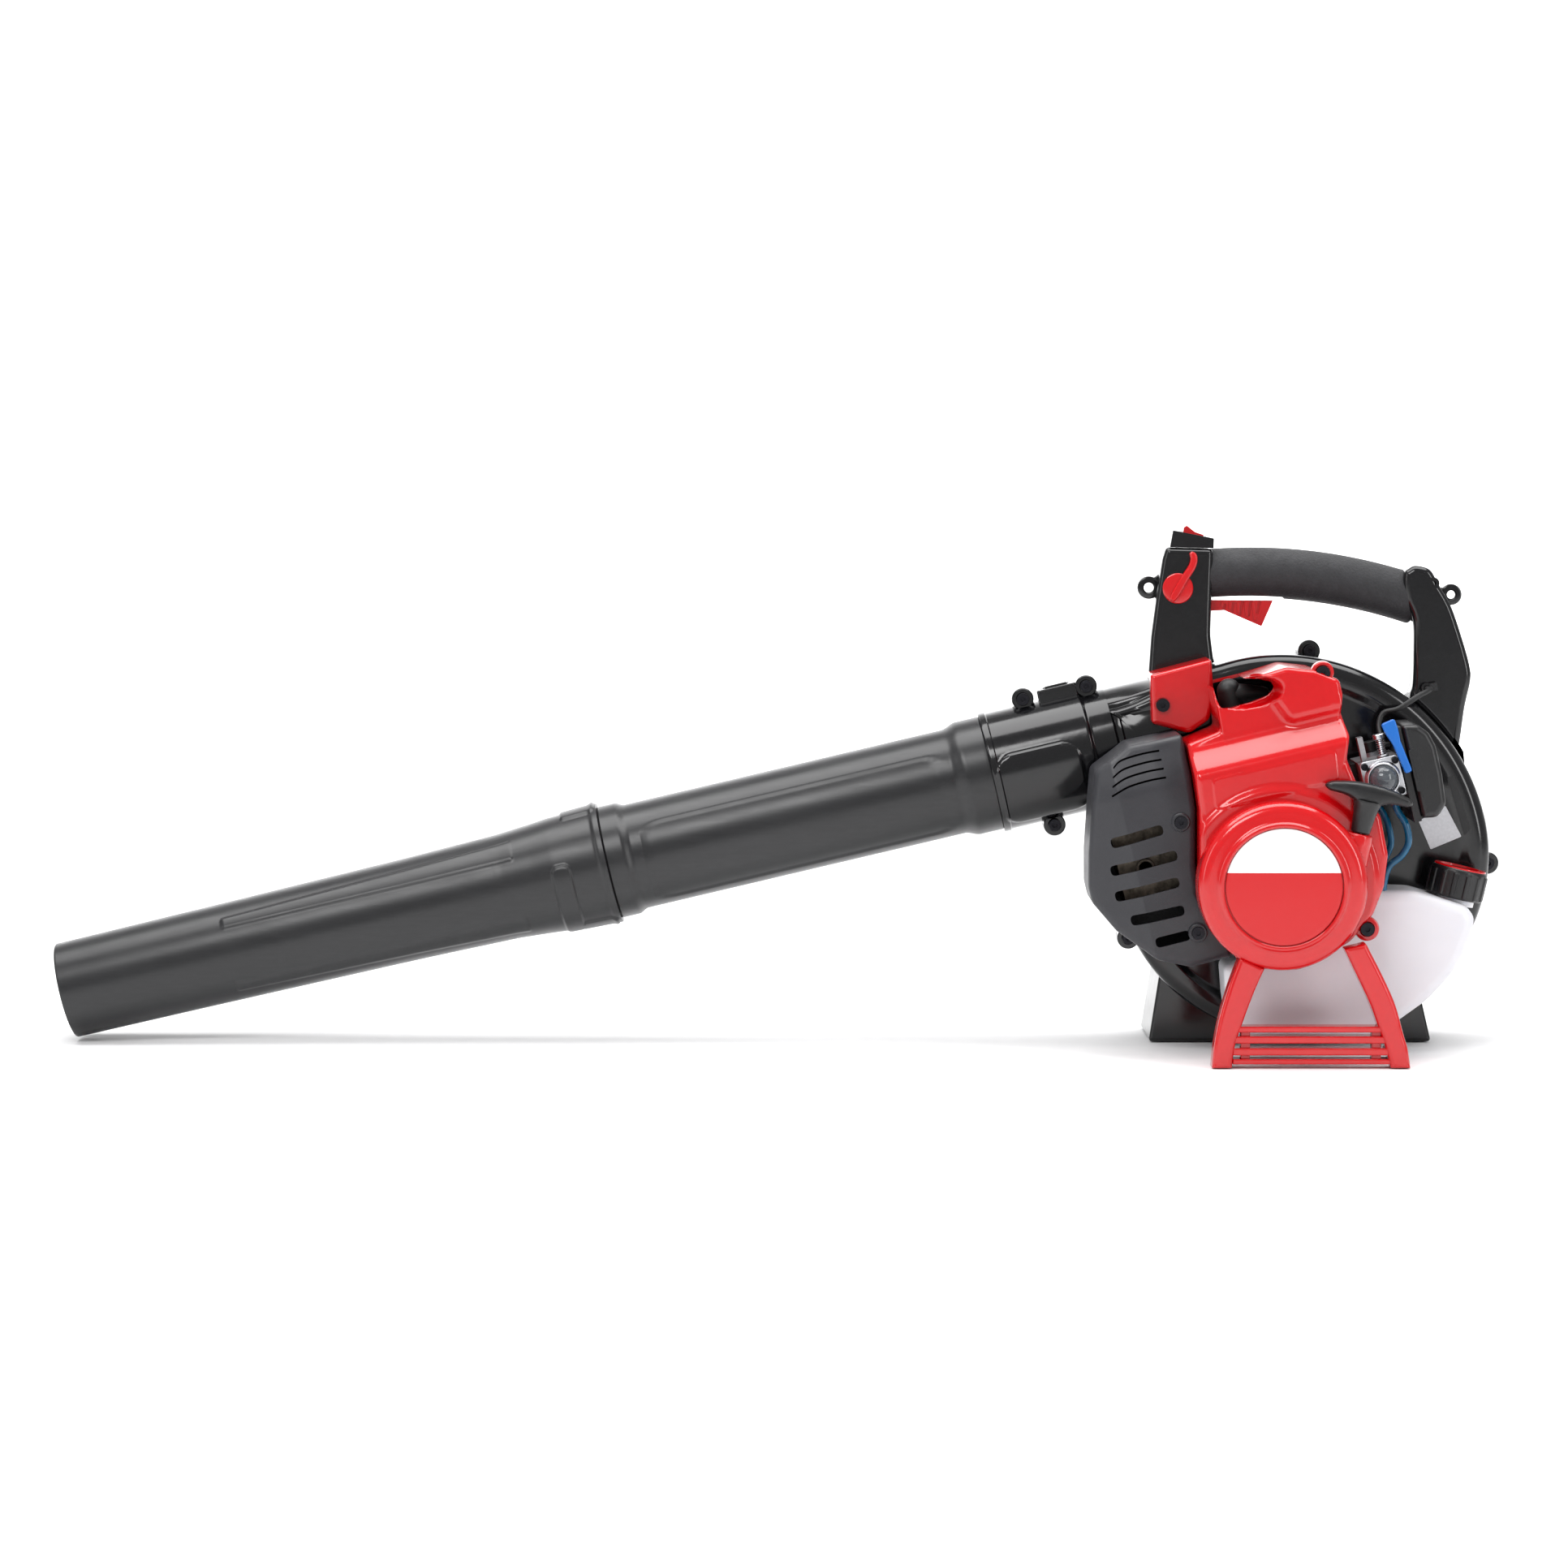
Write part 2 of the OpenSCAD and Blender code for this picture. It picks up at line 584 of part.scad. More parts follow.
module starter_housing() color("#e31e24") tilted() {
    drum_shell();
    difference() {
        rod_y(5, starter_front + wall - 0.5, pulley_y + 6.5);
        rod_y(2.1, pulley_y - 6, pulley_y + 7);
    }
}
module drum_shell() difference() {
    union() {
        rod_y(drum_r, starter_front, drum_back);
        rod_y(46, starter_front - 1, starter_front + 1);
        rod_y(8, shroud_front, drum_back, drum_lobe);
        translate([rope_exit.x, pulley_y, rope_exit.y]) rotate([0, 90 - pull_a, 0])
            rod_z(9, -16, 0);
    }
    difference() {
        rod_y(drum_r - wall, starter_front + wall, drum_back + 1);
        rod_y(8, starter_front, drum_back, drum_lobe);
    }
    rod_y(6.2, starter_front - 2, shroud_front, drum_lobe);
    rod_y(2.3, starter_front - 2, drum_back + 1, drum_lobe);
    rod_y(badge_r + seat_gap, starter_front - 2, starter_front);
    translate([rope_exit.x, pulley_y, rope_exit.y]) rotate([0, 90 - pull_a, 0])
        rod_z(5 + seat_gap, -6.2, 1);
    translate([polar(pulley_r, rope_tangent_a).x, pulley_y, polar(pulley_r, rope_tangent_a).y])
        rotate([0, 90 - rope_run_a, 0]) rod_z(3.2, 0, 62);
    for (a = [0 : 30 : 330]) rotate([0, a, 0]) box(20, 42, starter_front - 2, starter_front + 5, -2, 2);
}
rope_run_a = atan2(rope_exit.y - polar(pulley_r, rope_tangent_a).y,
    rope_exit.x - polar(pulley_r, rope_tangent_a).x);
badge_r = 43;

stand_front = starter_front + 3;
stand_depth = 18;
leg_left = [[-14, -60], [-21, -79], [-29.5, -102.5], [-36.5, -crank_h], [-51.2, -crank_h],
    [-49.6, -117], [-45.4, -95], [-38.4, -71], [-31.3, -50]];
leg_right = [[45, -46], [55.4, -67.7], [64.3, -86.6], [70.2, -102.7], [79.9, -crank_h],
    [94.4, -crank_h], [88.9, -108.5], [83.1, -88], [74.2, -67.7], [60.9, -38]];
module front_stand() color("#e31e24") level() difference() {
    union() {
        slab(stand_front, stand_front + stand_depth) {
            polygon(leg_left);
            polygon(leg_right);
        }
        for (z = [-105.6, -113, -122, -129]) box(-34, 78, stand_front + 2, stand_front + stand_depth - 2, z - 2.4, z + 2.4);
        for (x = [-30, 63]) box(x, x + 8, stand_front + 4, stand_front + 14, -122, -113);
    }
    rod_y(drum_r + seat_gap, stand_front - 1, stand_front + stand_depth + 1);
    slab(stand_front + 3, stand_front + stand_depth + 1) offset(delta = -3) {
        polygon(leg_left);
        polygon(leg_right);
    }
}

module badge_disc() color("#f4f4f4") tilted() rod_y(badge_r, badge_front, starter_front);

guard_front = eng_y - 47;
guard_screws = [[-60, 59], [-66, -24]];
module muffler_guard() color("#3a3942") tilted() difference() {
    slab(guard_front, eng_y + 25) polygon(guard_2d_points);
    slab(guard_front + wall, eng_y + 26) offset(delta = -wall) polygon(guard_2d_points);
    slab(guard_front + wall + 3, eng_y + 26) translate([-75, 30]) square([60, 80]);
    rod_y(drum_r + 0.8, guard_front - 1, drum_back + 1);
    slab(bracket_front - 1, 0) offset(delta = move_gap) bracket_2d();
    for (i = [0 : 4]) let (z = 58 - 22 * i, x0 = -114 + 3 * i * i / 2)
        slab(guard_front - 1, guard_front + wall + 1) polygon([
            [x0, z - 3.5], [-72, z - 3.5], [-70, z], [-72, z + 3.5], [x0, z + 3.5], [x0 - 3, z]]);
    for (i = [0 : 3]) box(-100, -66, guard_front - 1, eng_y, 92 + 7 * i, 93.5 + 7 * i);
    for (p = guard_screws) rod_y(2.3, guard_front - 1, guard_front + 5, p);
    box(-60, -30, eng_y - 26, 0, 30, 82);
}

module cover_screws() color("#2b2b2e") {
    tilted() {
        screw(shroud_lobes[0], shroud_front + 18.8, 14, 2.1, 5);
        for (p = [drum_lobe, shroud_lobes[1]]) screw(p, shroud_front, 5.5, 2.1, 5);
        screw(bracket_screw, bracket_front, 12, 2.1, 5);
        for (p = guard_screws) screw(p, guard_front, 8);
        mirror([0, 1, 0]) screw([0, 0], -(pulley_y + 6.7), 10, 2, 5.5);
        for (p = pump_screws) screw(p, carb_front - 3, 10, 1.4, 2.6);
    }
}

// ---- Recoil starter ----
module starter_handle() color("#1b1b1e") tilted() pull_frame() difference() {
    union() {
        translate([0, 0, move_gap]) cylinder(r1 = 7, r2 = 9, h = 22);
        slab(-7, 7) polygon([[-32, 26], [-32, 32], [-28, 34.5], [0, 37], [28, 34.5], [32, 32],
            [32, 26], [14, 24], [9, 16], [-9, 16], [-14, 24]]);
    }
    rod_z(rope_d / 2 + 0.3, -1, 31);
    rod_z(4.5, 30, 50);
}
module pull_frame() translate([rope_exit.x, pulley_y, rope_exit.y]) rotate([0, 90 - pull_a, 0])
    children();

module starter_rope() color("#e8e4da") tilted() {
    t = polar(pulley_r + rope_d / 2 + 0.1, rope_tangent_a);
    out = polar(1, pull_a);
    sweep(spline([[t.x, pulley_y, t.y], [rope_exit.x - 9 * cos(rope_run_a), pulley_y,
        rope_exit.y - 9 * sin(rope_run_a)], [rope_exit.x - 2 * out.x, pulley_y, rope_exit.y - 2 * out.y],
        [rope_exit.x + 16 * out.x, pulley_y, rope_exit.y + 16 * out.y],
        [rope_exit.x + 31.5 * out.x, pulley_y, rope_exit.y + 31.5 * out.y]], 3), rope_d / 2 - 0.1, 8);
    pull_frame() translate([0, 0, 34]) sphere(r = 3.6, $fn = 24);
}

module rope_eyelet() color("#c9c9cd") tilted() pull_frame() difference() {
    rod_z(5, -6, 0);
    rod_z(rope_d / 2 + 1.4, -7, 1);
}

module recoil_pulley() color("#d8d8d2") tilted() difference() {
    union() {
        rod_y(pulley_r, pulley_y - 5, pulley_y + 5);
        rod_y(pulley_r + rope_d + 0.5, pulley_y - 5, pulley_y - 3);
        rod_y(pulley_r + rope_d + 0.5, pulley_y + 3, pulley_y + 5);
        rod_y(17, pulley_y + 4, pulley_y + 8.5);
    }
    rod_y(5 + run_gap, pulley_y - 6, pulley_y + 10);
    rod_y(8, pulley_y + 6, pulley_y + 10);
    for (a = [0 : 60 : 300]) rotate([0, a, 0]) rod_y(3.5, pulley_y - 6, pulley_y + 4, [22, 0]);
}

spring_steps = 100;
function coil_r(i) = 8 + (pulley_r - 12) * i / spring_steps;
module recoil_spring() color("#8a8a90") tilted()
    slab(starter_front + wall + 0.4, pulley_y - 5.6) polygon(concat(
        [for (i = [0 : spring_steps]) polar(coil_r(i), 18 * i)],
        [for (i = [spring_steps : -1 : 0]) polar(coil_r(i) + 0.9, 18 * i)]));

module starter_cup() color("#7d7d84") tilted() difference() {
    union() {
        rod_y(24, fly_front - 4.5, fly_front - 0.5);
        difference() {
            rod_y(24, cup_front, fly_front - 4);
            rod_y(20, cup_front - 1, fly_front - 4.5);
        }
    }
    rod_y(shaft_r - 1.5 + 0.02, cup_front - 1, fly_front);
    for (a = [0 : 45 : 315]) rotate([0, a, 0]) box(18, 21, cup_front - 1, cup_front + 3, -2.5, 2.5);
}

// ---- Engine ----
module flywheel() color("#a9a9ae") tilted() difference() {
    union() {
        rod_y(flywheel_r, fly_back - 7, fly_back);
        rod_y(14, fly_front, fly_back);
        for (a = [0 : 30 : 330]) rotate([0, a, 0]) box(13, flywheel_r - 2, fly_front, fly_back - 6, -1.2, 1.2);
    }
    rod_y(shaft_r + 0.02, fly_front - 1, fly_back + 1);
}

module ignition_module() color("#26262a") tilted() difference() {
    box(-22, 22, fly_front + 2, fly_back, flywheel_r - 2, flywheel_r + 27);
    rod_y(flywheel_r + move_gap, fly_front - 1, fly_back + 1);
    for (x = [-16, 16]) rod_y(2.2, fly_front, fly_back + 1, [x, flywheel_r + 20]);
}

module spark_plug() color("#e9e7e0") tilted() translate([0, eng_y, 0]) {
    rod_z(5, bore_top + 2, head_top);
    translate([0, 0, head_top]) cylinder(r = 9, h = 8, $fn = 6);
    rod_z(4.5, head_top + 8, head_top + 24);
    rod_z(2.5, head_top + 24, head_top + 28);
}

module plug_boot() color("#1b1b1e") tilted() translate([0, eng_y, 0]) difference() {
    union() {
        rod_z(9, head_top + 10, head_top + 38);
        translate([0, 0, head_top + 38]) sphere(r = 9);
        translate([0, 0, head_top + 32]) rotate([0, 98, 0]) cylinder(r1 = 8, r2 = 5, h = 26);
    }
    rod_z(4.6, head_top + 9, head_top + 24.1);
    rod_z(2.6, head_top + 24, head_top + 28.2);
}

module plug_lead() color("#1b1b1e") tilted() {
    h = head_top + 32;
    sweep(spline([[26.3, eng_y, h - 3.7], [33, eng_y - 1, h - 6], [40, eng_y - 10, h - 16],
        [41, eng_y - 26, h - 34], [34, eng_y - 38, h - 52], [18, fly_back - 8, flywheel_r + 40],
        [10, fly_back - 9, flywheel_r + 29]], 4), 3, 8);
}

module cylinder_outer() {
    rod_z(bore_r + 5, case_top, head_top);
    box(-26, 26, -base_y, base_y, case_top, case_top + 6);
    for (z = [case_top + 34 : 7 : head_top - 2]) box(-fin_x, fin_x, -fin_y, fin_y, z, z + 2.2);
    rod_x(11, 10, 36, [0, port_h]);
    rod_x(11.5, -36, -10, [0, port_h]);
}
module cylinder_block() translate([0, eng_y, 0]) difference() {
    cylinder_outer();
    rod_z(bore_r, case_top - 1, bore_top);
    rod_z(5 + 0.02, bore_top - 1, head_top + 1);
    rod_x(8, 10, 37, [0, port_h]);
    rod_x(8, -37, -10, [0, port_h]);
    for (x = [-21, 21]) for (y = [-base_y + 4.5, base_y - 4.5]) rod_z(2.6, case_top - 1, case_top + 7, [x, y]);
}
module cylinder_node() color("#b9babd") tilted() cylinder_block();

module piston() color("#c8c9cc") tilted() translate([0, eng_y, 0]) {
    r = bore_r - run_gap;
    low = pin_bdc - skirt;
    top = pin_bdc + crown;
    difference() {
        rod_z(r, low, top);
        difference() {
            rod_z(r - 2.5, low - 1, top - 4);
            for (s = [-1, 1]) rod_y(wrist_r + 3, s > 0 ? 5.5 : -bore_r, s > 0 ? bore_r : -5.5, [0, pin_bdc]);
        }
        rod_y(wrist_r + 0.02, -20, 20, [0, pin_bdc]);
        for (z = [top - 5, top - 9]) translate([0, 0, z]) difference() {
            cylinder(r = r + 1, h = 1.6);
            cylinder(r = r - 1.7, h = 1.6);
        }
    }
    for (z = [top - 5, top - 9]) translate([0, 0, z + 0.1]) difference() {
        cylinder(r = r, h = 1.4);
        translate([0, 0, -1]) cylinder(r = r - 1.5, h = 4);
    }
}

module wrist_pin() color("#9a9aa0") tilted() difference() {
    rod_y(wrist_r, eng_y - bore_r + 2.6, eng_y + bore_r - 2.6, [0, pin_bdc]);
    rod_y(wrist_r - 1.8, eng_y - bore_r, eng_y + bore_r, [0, pin_bdc]);
}

module connecting_rod() color("#8d8d93") tilted() difference() {
    union() {
        rod_y(wrist_r + 3, eng_y - 4, eng_y + 4, [0, pin_bdc]);
        rod_y(crank_pin_r + 4, eng_y - 4, eng_y + 4, [0, -stroke / 2]);
        slab(eng_y - 2, eng_y + 2) translate([-4, -stroke / 2 + 6]) square([8, rod_len - 10]);
    }
    rod_y(wrist_r + run_gap, eng_y - 5, eng_y + 5, [0, pin_bdc]);
    rod_y(crank_pin_r + 0.2, eng_y - 5, eng_y + 5, [0, -stroke / 2]);
}

// Two crank webs with pin stubs that stop short of the connecting rod
shaft_back = 9;
module crankshaft() color("#97979d") tilted() for (s = [-1, 1]) {
    y_in = eng_y + s * 5;
    y_web = eng_y + s * 7;
    y_out = eng_y + s * 13;
    rod_y(crank_pin_r, min(y_in, y_web), max(y_in, y_web), [0, -stroke / 2]);
    difference() {
        rod_y(web_r, min(y_web, y_out), max(y_web, y_out));
        slab(min(y_web, y_out) - 1, max(y_web, y_out) + 1) for (k = [-1, 1])
            translate([k * (web_r + 4), -web_r / 2 - 4]) square([16, web_r + 8], center = true);
    }
    if (s > 0) rod_y(shaft_r, y_out - 1, shaft_back);
    else {
        rod_y(shaft_r, fly_front - 0.4, y_out + 1);
        rod_y(shaft_r - 1.5, fly_front - 5, fly_front);
    }
}

module crankcase() color("#a2a3a7") tilted() difference() {
    union() {
        rod_y(cavity_r + 5, eng_y - 17, eng_y + 17);
        rod_y(20, case_front, eng_y - 16);
        rod_y(20, eng_y + 16, -housing_half - 0.1);
        rod_y(52, -housing_half - 6, -housing_half);
        box(-26, 26, eng_y - 26, eng_y + 26, 8, case_top);
    }
    rod_y(cavity_r, eng_y - 14, eng_y + 14);
    box(-40, 40, eng_y - 18, eng_y + 18, case_top, case_top + 20);
    translate([0, eng_y, 0]) rod_z(bore_r + 0.6, 0, case_top + 1);
    rod_y(shaft_r + 4.5, case_front + 1, -housing_half + 1);
    for (s = [-1, 1]) rod_y(bearing_r, eng_y + (s > 0 ? 15 : -23), eng_y + (s > 0 ? 23 : -15));
    rod_y(12, case_front - 1, eng_y - 24);
    rod_y(12, eng_y + 24, -housing_half + 1);
    for (p = case_bolts) rod_y(2.5, -housing_half - 7, -housing_half + 1, p);
}
bearing_r = shaft_r + 8;

module crank_bearings() color("#c4c5c9") tilted() for (s = [-1, 1]) {
    y0 = eng_y + (s > 0 ? 15 : -23);
    difference() {
        rod_y(bearing_r, y0, y0 + 8);
        rod_y(bearing_r - 2.4, y0 - 1, y0 + 9);
    }
    difference() {
        rod_y(shaft_r + 2.6, y0, y0 + 8);
        rod_y(shaft_r + run_gap, y0 - 1, y0 + 9);
    }
    for (a = [0 : 45 : 315]) rotate([0, a, 0]) translate([shaft_r + 4.1, y0 + 4, 0])
        sphere(r = 1.4, $fn = 24);
}

module shaft_seals() color("#3a2a22") tilted() for (y0 = [case_front + 1.5, eng_y + 24.2])
    difference() {
        rod_y(12, y0, y0 + 4.5);
        rod_y(shaft_r + move_gap, y0 - 1, y0 + 6);
    }

muffler_right = -36 - 1;
module muffler() color("#8f8f8a") tilted() difference() {
    union() {
        box(-112, muffler_right - 25, eng_y - 28, eng_y + 22, 4, 80);
        rod_x(14, muffler_right - 26, muffler_right, [eng_y, port_h]);
        rod_y(7, eng_y - 32, eng_y - 27, [-92, 30]);
    }
    box(-110.5, muffler_right - 26.5, eng_y - 26.5, eng_y + 20.5, 5.5, 78.5);
    rod_x(8, muffler_right - 30, muffler_right + 1, [eng_y, port_h]);
    rod_y(5, eng_y - 34, eng_y - 20, [-92, 30]);
}

module intake_manifold() color("#232327") tilted() difference() {
    union() {
        rod_x(13, 36 + seat_gap, carb_x - seat_gap, [eng_y, port_h]);
        for (x = [36 + seat_gap, carb_x - 4 - seat_gap])
            box(x, x + 4, eng_y - 17, eng_y + 17, port_h - 15, port_h + 15);
    }
    rod_x(8, 30, carb_x + 1, [eng_y, port_h]);
}

pump_mid = [carb_x + carb_len / 2, port_h + 1.5];
pump_screws = [for (s = [[-1, -1], [1, -1], [-1, 1], [1, 1]]) pump_mid + [11.5 * s.x, 11.5 * s.y]];
lever_axis = [carb_x + 15, eng_y];
module carburettor() color("#9b9ca0") tilted() difference() {
    union() {
        box(carb_x, carb_x + carb_len, carb_front, eng_y + 15, port_h - 14, port_h + 16);
        rod_z(8, port_h + 15, port_h + 19, lever_axis);
        box(carb_x + 4, carb_x + 8, eng_y - 30, eng_y - 20, port_h + 15, port_h + 34);
    }
    rod_x(8, carb_x - 1, carb_x + carb_len + 1, [eng_y, port_h]);
    rod_z(3 + run_gap, port_h - 10, port_h + 20, lever_axis);
    for (p = pump_screws) rod_y(1.5, carb_front - 1, carb_front + 9, p);
}

bulb_base = carb_front - 7.2;
module pump_cover() color("#c6c7ca") tilted() difference() {
    union() {
        slab(carb_front - 3, carb_front) translate(pump_mid) square([30, 30], center = true);
        rod_y(primer_r + move_gap + 1.4, bulb_base - 0.6, carb_front - 2, pump_mid);
    }
    rod_y(primer_r + move_gap, bulb_base - 2, carb_front - 2.5, pump_mid);
    for (p = pump_screws) rod_y(1.5, carb_front - 4, carb_front + 1, p);
}

module primer_bulb() color("#3d4046") tilted() intersection() {
    translate([pump_mid.x, bulb_base + 1, pump_mid.y]) sphere(r = primer_r);
    rod_y(primer_r, bulb_base - 13, bulb_base, pump_mid);
}

module throttle_lever() color("#1b1b1e") tilted() {
    rod_z(3, port_h - 9, port_h + 20, lever_axis);
    difference() {
        union() {
            rod_z(7, port_h + 19 + move_gap, port_h + 27, lever_axis);
            box(lever_axis.x, lever_axis.x + 15, eng_y - 3.5, eng_y + 3.5, port_h + 20, port_h + 23);
        }
        rod_z(1.2, port_h + 19, port_h + 24, [lever_axis.x + 12, eng_y]);
    }
}

module air_box() color("#1b1b1e") tilted() difference() {
    box(air_x, air_x + 6, eng_y - 39, eng_y + 17, 18, 90);
    rod_x(8, air_x - 1, air_x + 7, [eng_y, port_h]);
    rod_y(2 + run_gap, eng_y - 40, eng_y - 30, choke_pivot);
}

module air_filter() color("#3c3c42") tilted()
    box(air_x + 6 + seat_gap, air_x + 18, eng_y - 35, eng_y + 13, 28, 80);

module cover_2d(inset) offset(r = -inset) polygon([[air_x + 6.3, 20], [air_x + 18, 18],
    [air_x + 26, 26], [air_x + 28, 48], [air_x + 28, 70], [air_x + 25, 81], [air_x + 18, 89],
    [air_x + 6.3, 91]]);
module air_cleaner_cover() color("#1b1b1e") tilted() difference() {
    slab(eng_y - 42, eng_y + 18) cover_2d(0);
    slab(eng_y - 42 + wall, eng_y + 18 - wall) cover_2d(wall);
    box(air_x, air_x + 9.5, eng_y - 40, eng_y + 16, 21, 88);
    box(air_x, air_x + 12, eng_y - 43, eng_y - 38, 44, 76);
}

module choke_lever() color("#1e7fc8") tilted() {
    rod_y(2, eng_y - 45, eng_y - 31, choke_pivot);
    slab(eng_y - 46, eng_y - 42 - move_gap) {
        translate(choke_pivot) circle(r = 4.5);
        translate(choke_pivot) rotate(100) translate([0, -2.5]) square([31, 5]);
        translate(choke_pivot + polar(32, 100)) circle(r = 5.5);
    }
}

// ---- Fuel system, in the level frame ----
tank_2d_points = [[-38, -66], [-33, -112], [-26, -118], [76, -118], [96, -104], [114, -91],
    [129, -75], [139, -61], [147, -40], [148, -29], [144, -23], [117, -15], [103, -9], [60, -9]];
cap_seat = [136, -18];
cap_lean = 13;
tank_front = eng_y - 34;
tank_back = -housing_half - 7;
line_holes = [[81, -26], [76, -14]];

module tank_2d(inset) difference() {
    offset(delta = -inset) polygon(tank_2d_points);
    circle(r = cavity_r + 5 + 2 + inset);
}
module cap_frame() translate([cap_seat.x, eng_y, cap_seat.y]) rotate([0, cap_lean, 0]) children();
module fuel_tank() color("#dcdce0") level() difference() {
    union() {
        slab(tank_front, tank_back) tank_2d(0);
        cap_frame() rod_z(cap_r - 4.5, -4, cap_len - 6);
    }
    slab(tank_front + wall, tank_back - wall) tank_2d(wall);
    cap_frame() rod_z(cap_r - 7, -10, cap_len);
    for (p = line_holes) rod_z(3.6, -16, 0, [p.x, eng_y + p.y + 0.01]);
}

module fuel_cap() color("#1b1b1e") level() cap_frame() difference() {
    union() {
        rod_z(cap_r, 1.5, cap_len);
        for (a = [0 : 30 : 330]) rotate([0, 0, a]) box(cap_r - 1, cap_r + 1.2, -2.5, 2.5, 1.5, cap_len - 4);
    }
    rod_z(cap_r - 4.5 + move_gap, 0, cap_len - 5);
}

module fuel_lines() level() {
    color("#1e6a94") sweep(spline([[81, eng_y - 26, -18], [81, eng_y - 26, -4], [85, eng_y - 26, 9],
        [94, eng_y - 26, 17], [99, eng_y - 26, 27], [97, eng_y - 26, 40],
        [90, eng_y - 25, 52], [carb_foot(22).x, eng_y - 25, carb_foot(22).y]], 3), 2.6, 8);
    color("#1f6b4a") sweep(spline([[76, eng_y - 14, -30], [76, eng_y - 14, -4], [83, eng_y - 13, 12],
        [88, eng_y - 11, 26], [84, eng_y - 8, 44], [carb_foot(8).x, eng_y - 8, carb_foot(8).y]], 3), 2.4, 8);
    color("#1f6b4a") sweep(spline([[76, eng_y - 14, -30.5], [78, eng_y - 12, -56], [74, eng_y - 8, -84],
        [66, eng_y - 6, -99], [60.6, eng_y - 6, -102]], 3), 2.4, 8);
}
// A point on the carburettor's underside, in the level frame
function carb_foot(dx) = let (x = carb_x + dx, z = port_h - 15)
    [x * cos(tilt) - z * sin(tilt), x * sin(tilt) + z * cos(tilt)];

module fuel_filter() color("#c9b98a") level() translate([58, eng_y - 6, -103])
    rotate([0, -15, 0]) rod_x(6, -18, 2);

// ---- Fan ----
module impeller() color("#26262a") tilted() difference() {
    union() {
        rod_y(fan_r, -36, -33);
        rod_y(16, -36, 0);
        for (i = [0 : blades - 1]) rotate([0, 360 * i / blades, 0]) slab(-33.5, 18) blade_2d();
    }
    rod_y(shaft_r + 0.02, -37, 1);
}
// A blade that leans back as it goes out, as an arc of even thickness
function lean(r) = 26 * pow((r - 15) / (fan_r - 17), 2);
module blade_2d() {
    radii = [for (i = [0 : 8]) 15 + (fan_r - 17) * i / 8];
    polygon(concat([for (r = radii) polar(r, -lean(r))],
        [for (i = [8 : -1 : 0]) polar(radii[i], -lean(radii[i]) + 150 / radii[i])]));
}

module impeller_nut() color("#b8b8bc") tilted() difference() {
    translate([0, 7.5, 0]) rotate([90, 0, 0]) cylinder(r = shaft_r + 4, h = 7, $fn = 6);
    rod_y(shaft_r + 0.02, 0, 9);
}

module inlet_door() color("#151417") tilted() {
    difference() {
        union() {
            rod_y(inlet_r + 4, door_y, door_y + 3);
            difference() {
                rod_y(inlet_r + 4, door_y, door_back);
                rod_y(inlet_r + 1.5, door_y - 1, door_back + 1);
            }
            slab(door_y, door_y + 5) difference() {
                translate([-11.5, 0]) square([23, hinge_h]);
                circle(r = inlet_r + 2);
            }
            rod_x(5, -11.5, 11.5, [hinge_y, hinge_h]);
        }
        slab(door_y - 1, door_back + 1) for (i = [-5 : 5]) let (
                x = 10 * i, h = sqrt(pow(inlet_r - 5, 2) - x * x))
            for (s = [-1, 1]) translate([x - 3.4, s > 0 ? 3 : -h]) square([6.8, max(h - 3, 2)]);
    }
    rod_x(2.5, -18, 18, [hinge_y, hinge_h]);
}

volute_front();
volute_back();
housing_screws();
upper_tube();
nozzle();
tube_latch();
handle_left();
handle_right();
foam_grip();
switch_panel();
stop_switch();
cruise_lever();
throttle_trigger();
trigger_pin();
trigger_spring();
throttle_cable();
cable_tie();
handle_bracket();
engine_shroud();
starter_housing();
front_stand();
badge_disc();
cover_screws();
starter_handle();
starter_rope();
rope_eyelet();
recoil_pulley();
recoil_spring();
starter_cup();
flywheel();
ignition_module();
spark_plug();
plug_boot();
plug_lead();
cylinder_node();  // cylinder
piston();
wrist_pin();
connecting_rod();
crankshaft();
crankcase();
crank_bearings();
shaft_seals();
muffler();
muffler_guard();
intake_manifold();
carburettor();
pump_cover();
throttle_lever();
primer_bulb();
choke_lever();
air_box();
air_filter();
air_cleaner_cover();
fuel_tank();
fuel_cap();
fuel_lines();
fuel_filter();
impeller();
impeller_nut();
inlet_door();
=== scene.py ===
"""Petrol leaf blower: moulded surfaces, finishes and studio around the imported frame.

Two frames are used for the shapes, both in millimetres from the crank axis:
the machine frame (x along the blow tube to the rear, y across, z up from it) and the
level frame (x to the rear, y across, z straight up)."""
import json
import math

import bmesh
import bpy
import numpy as np
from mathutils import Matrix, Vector


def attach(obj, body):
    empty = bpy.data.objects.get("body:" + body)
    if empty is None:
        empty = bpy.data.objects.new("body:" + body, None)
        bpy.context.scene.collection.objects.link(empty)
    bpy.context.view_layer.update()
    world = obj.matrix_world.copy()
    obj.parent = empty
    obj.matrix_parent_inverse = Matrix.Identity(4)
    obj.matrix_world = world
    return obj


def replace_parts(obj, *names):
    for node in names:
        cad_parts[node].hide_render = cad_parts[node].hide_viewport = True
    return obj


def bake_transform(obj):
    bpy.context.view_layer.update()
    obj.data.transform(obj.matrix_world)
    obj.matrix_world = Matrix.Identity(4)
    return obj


bl_info = {
    "name": "Petrol Leaf Blower",
    "version": (1, 0, 0),
    "blender": (4, 5, 0),
    "location": "View3D > Sidebar > Blower",
    "description": "Builds the moulded surfaces, finishes and studio of a petrol leaf blower",
    "category": "Object",
}

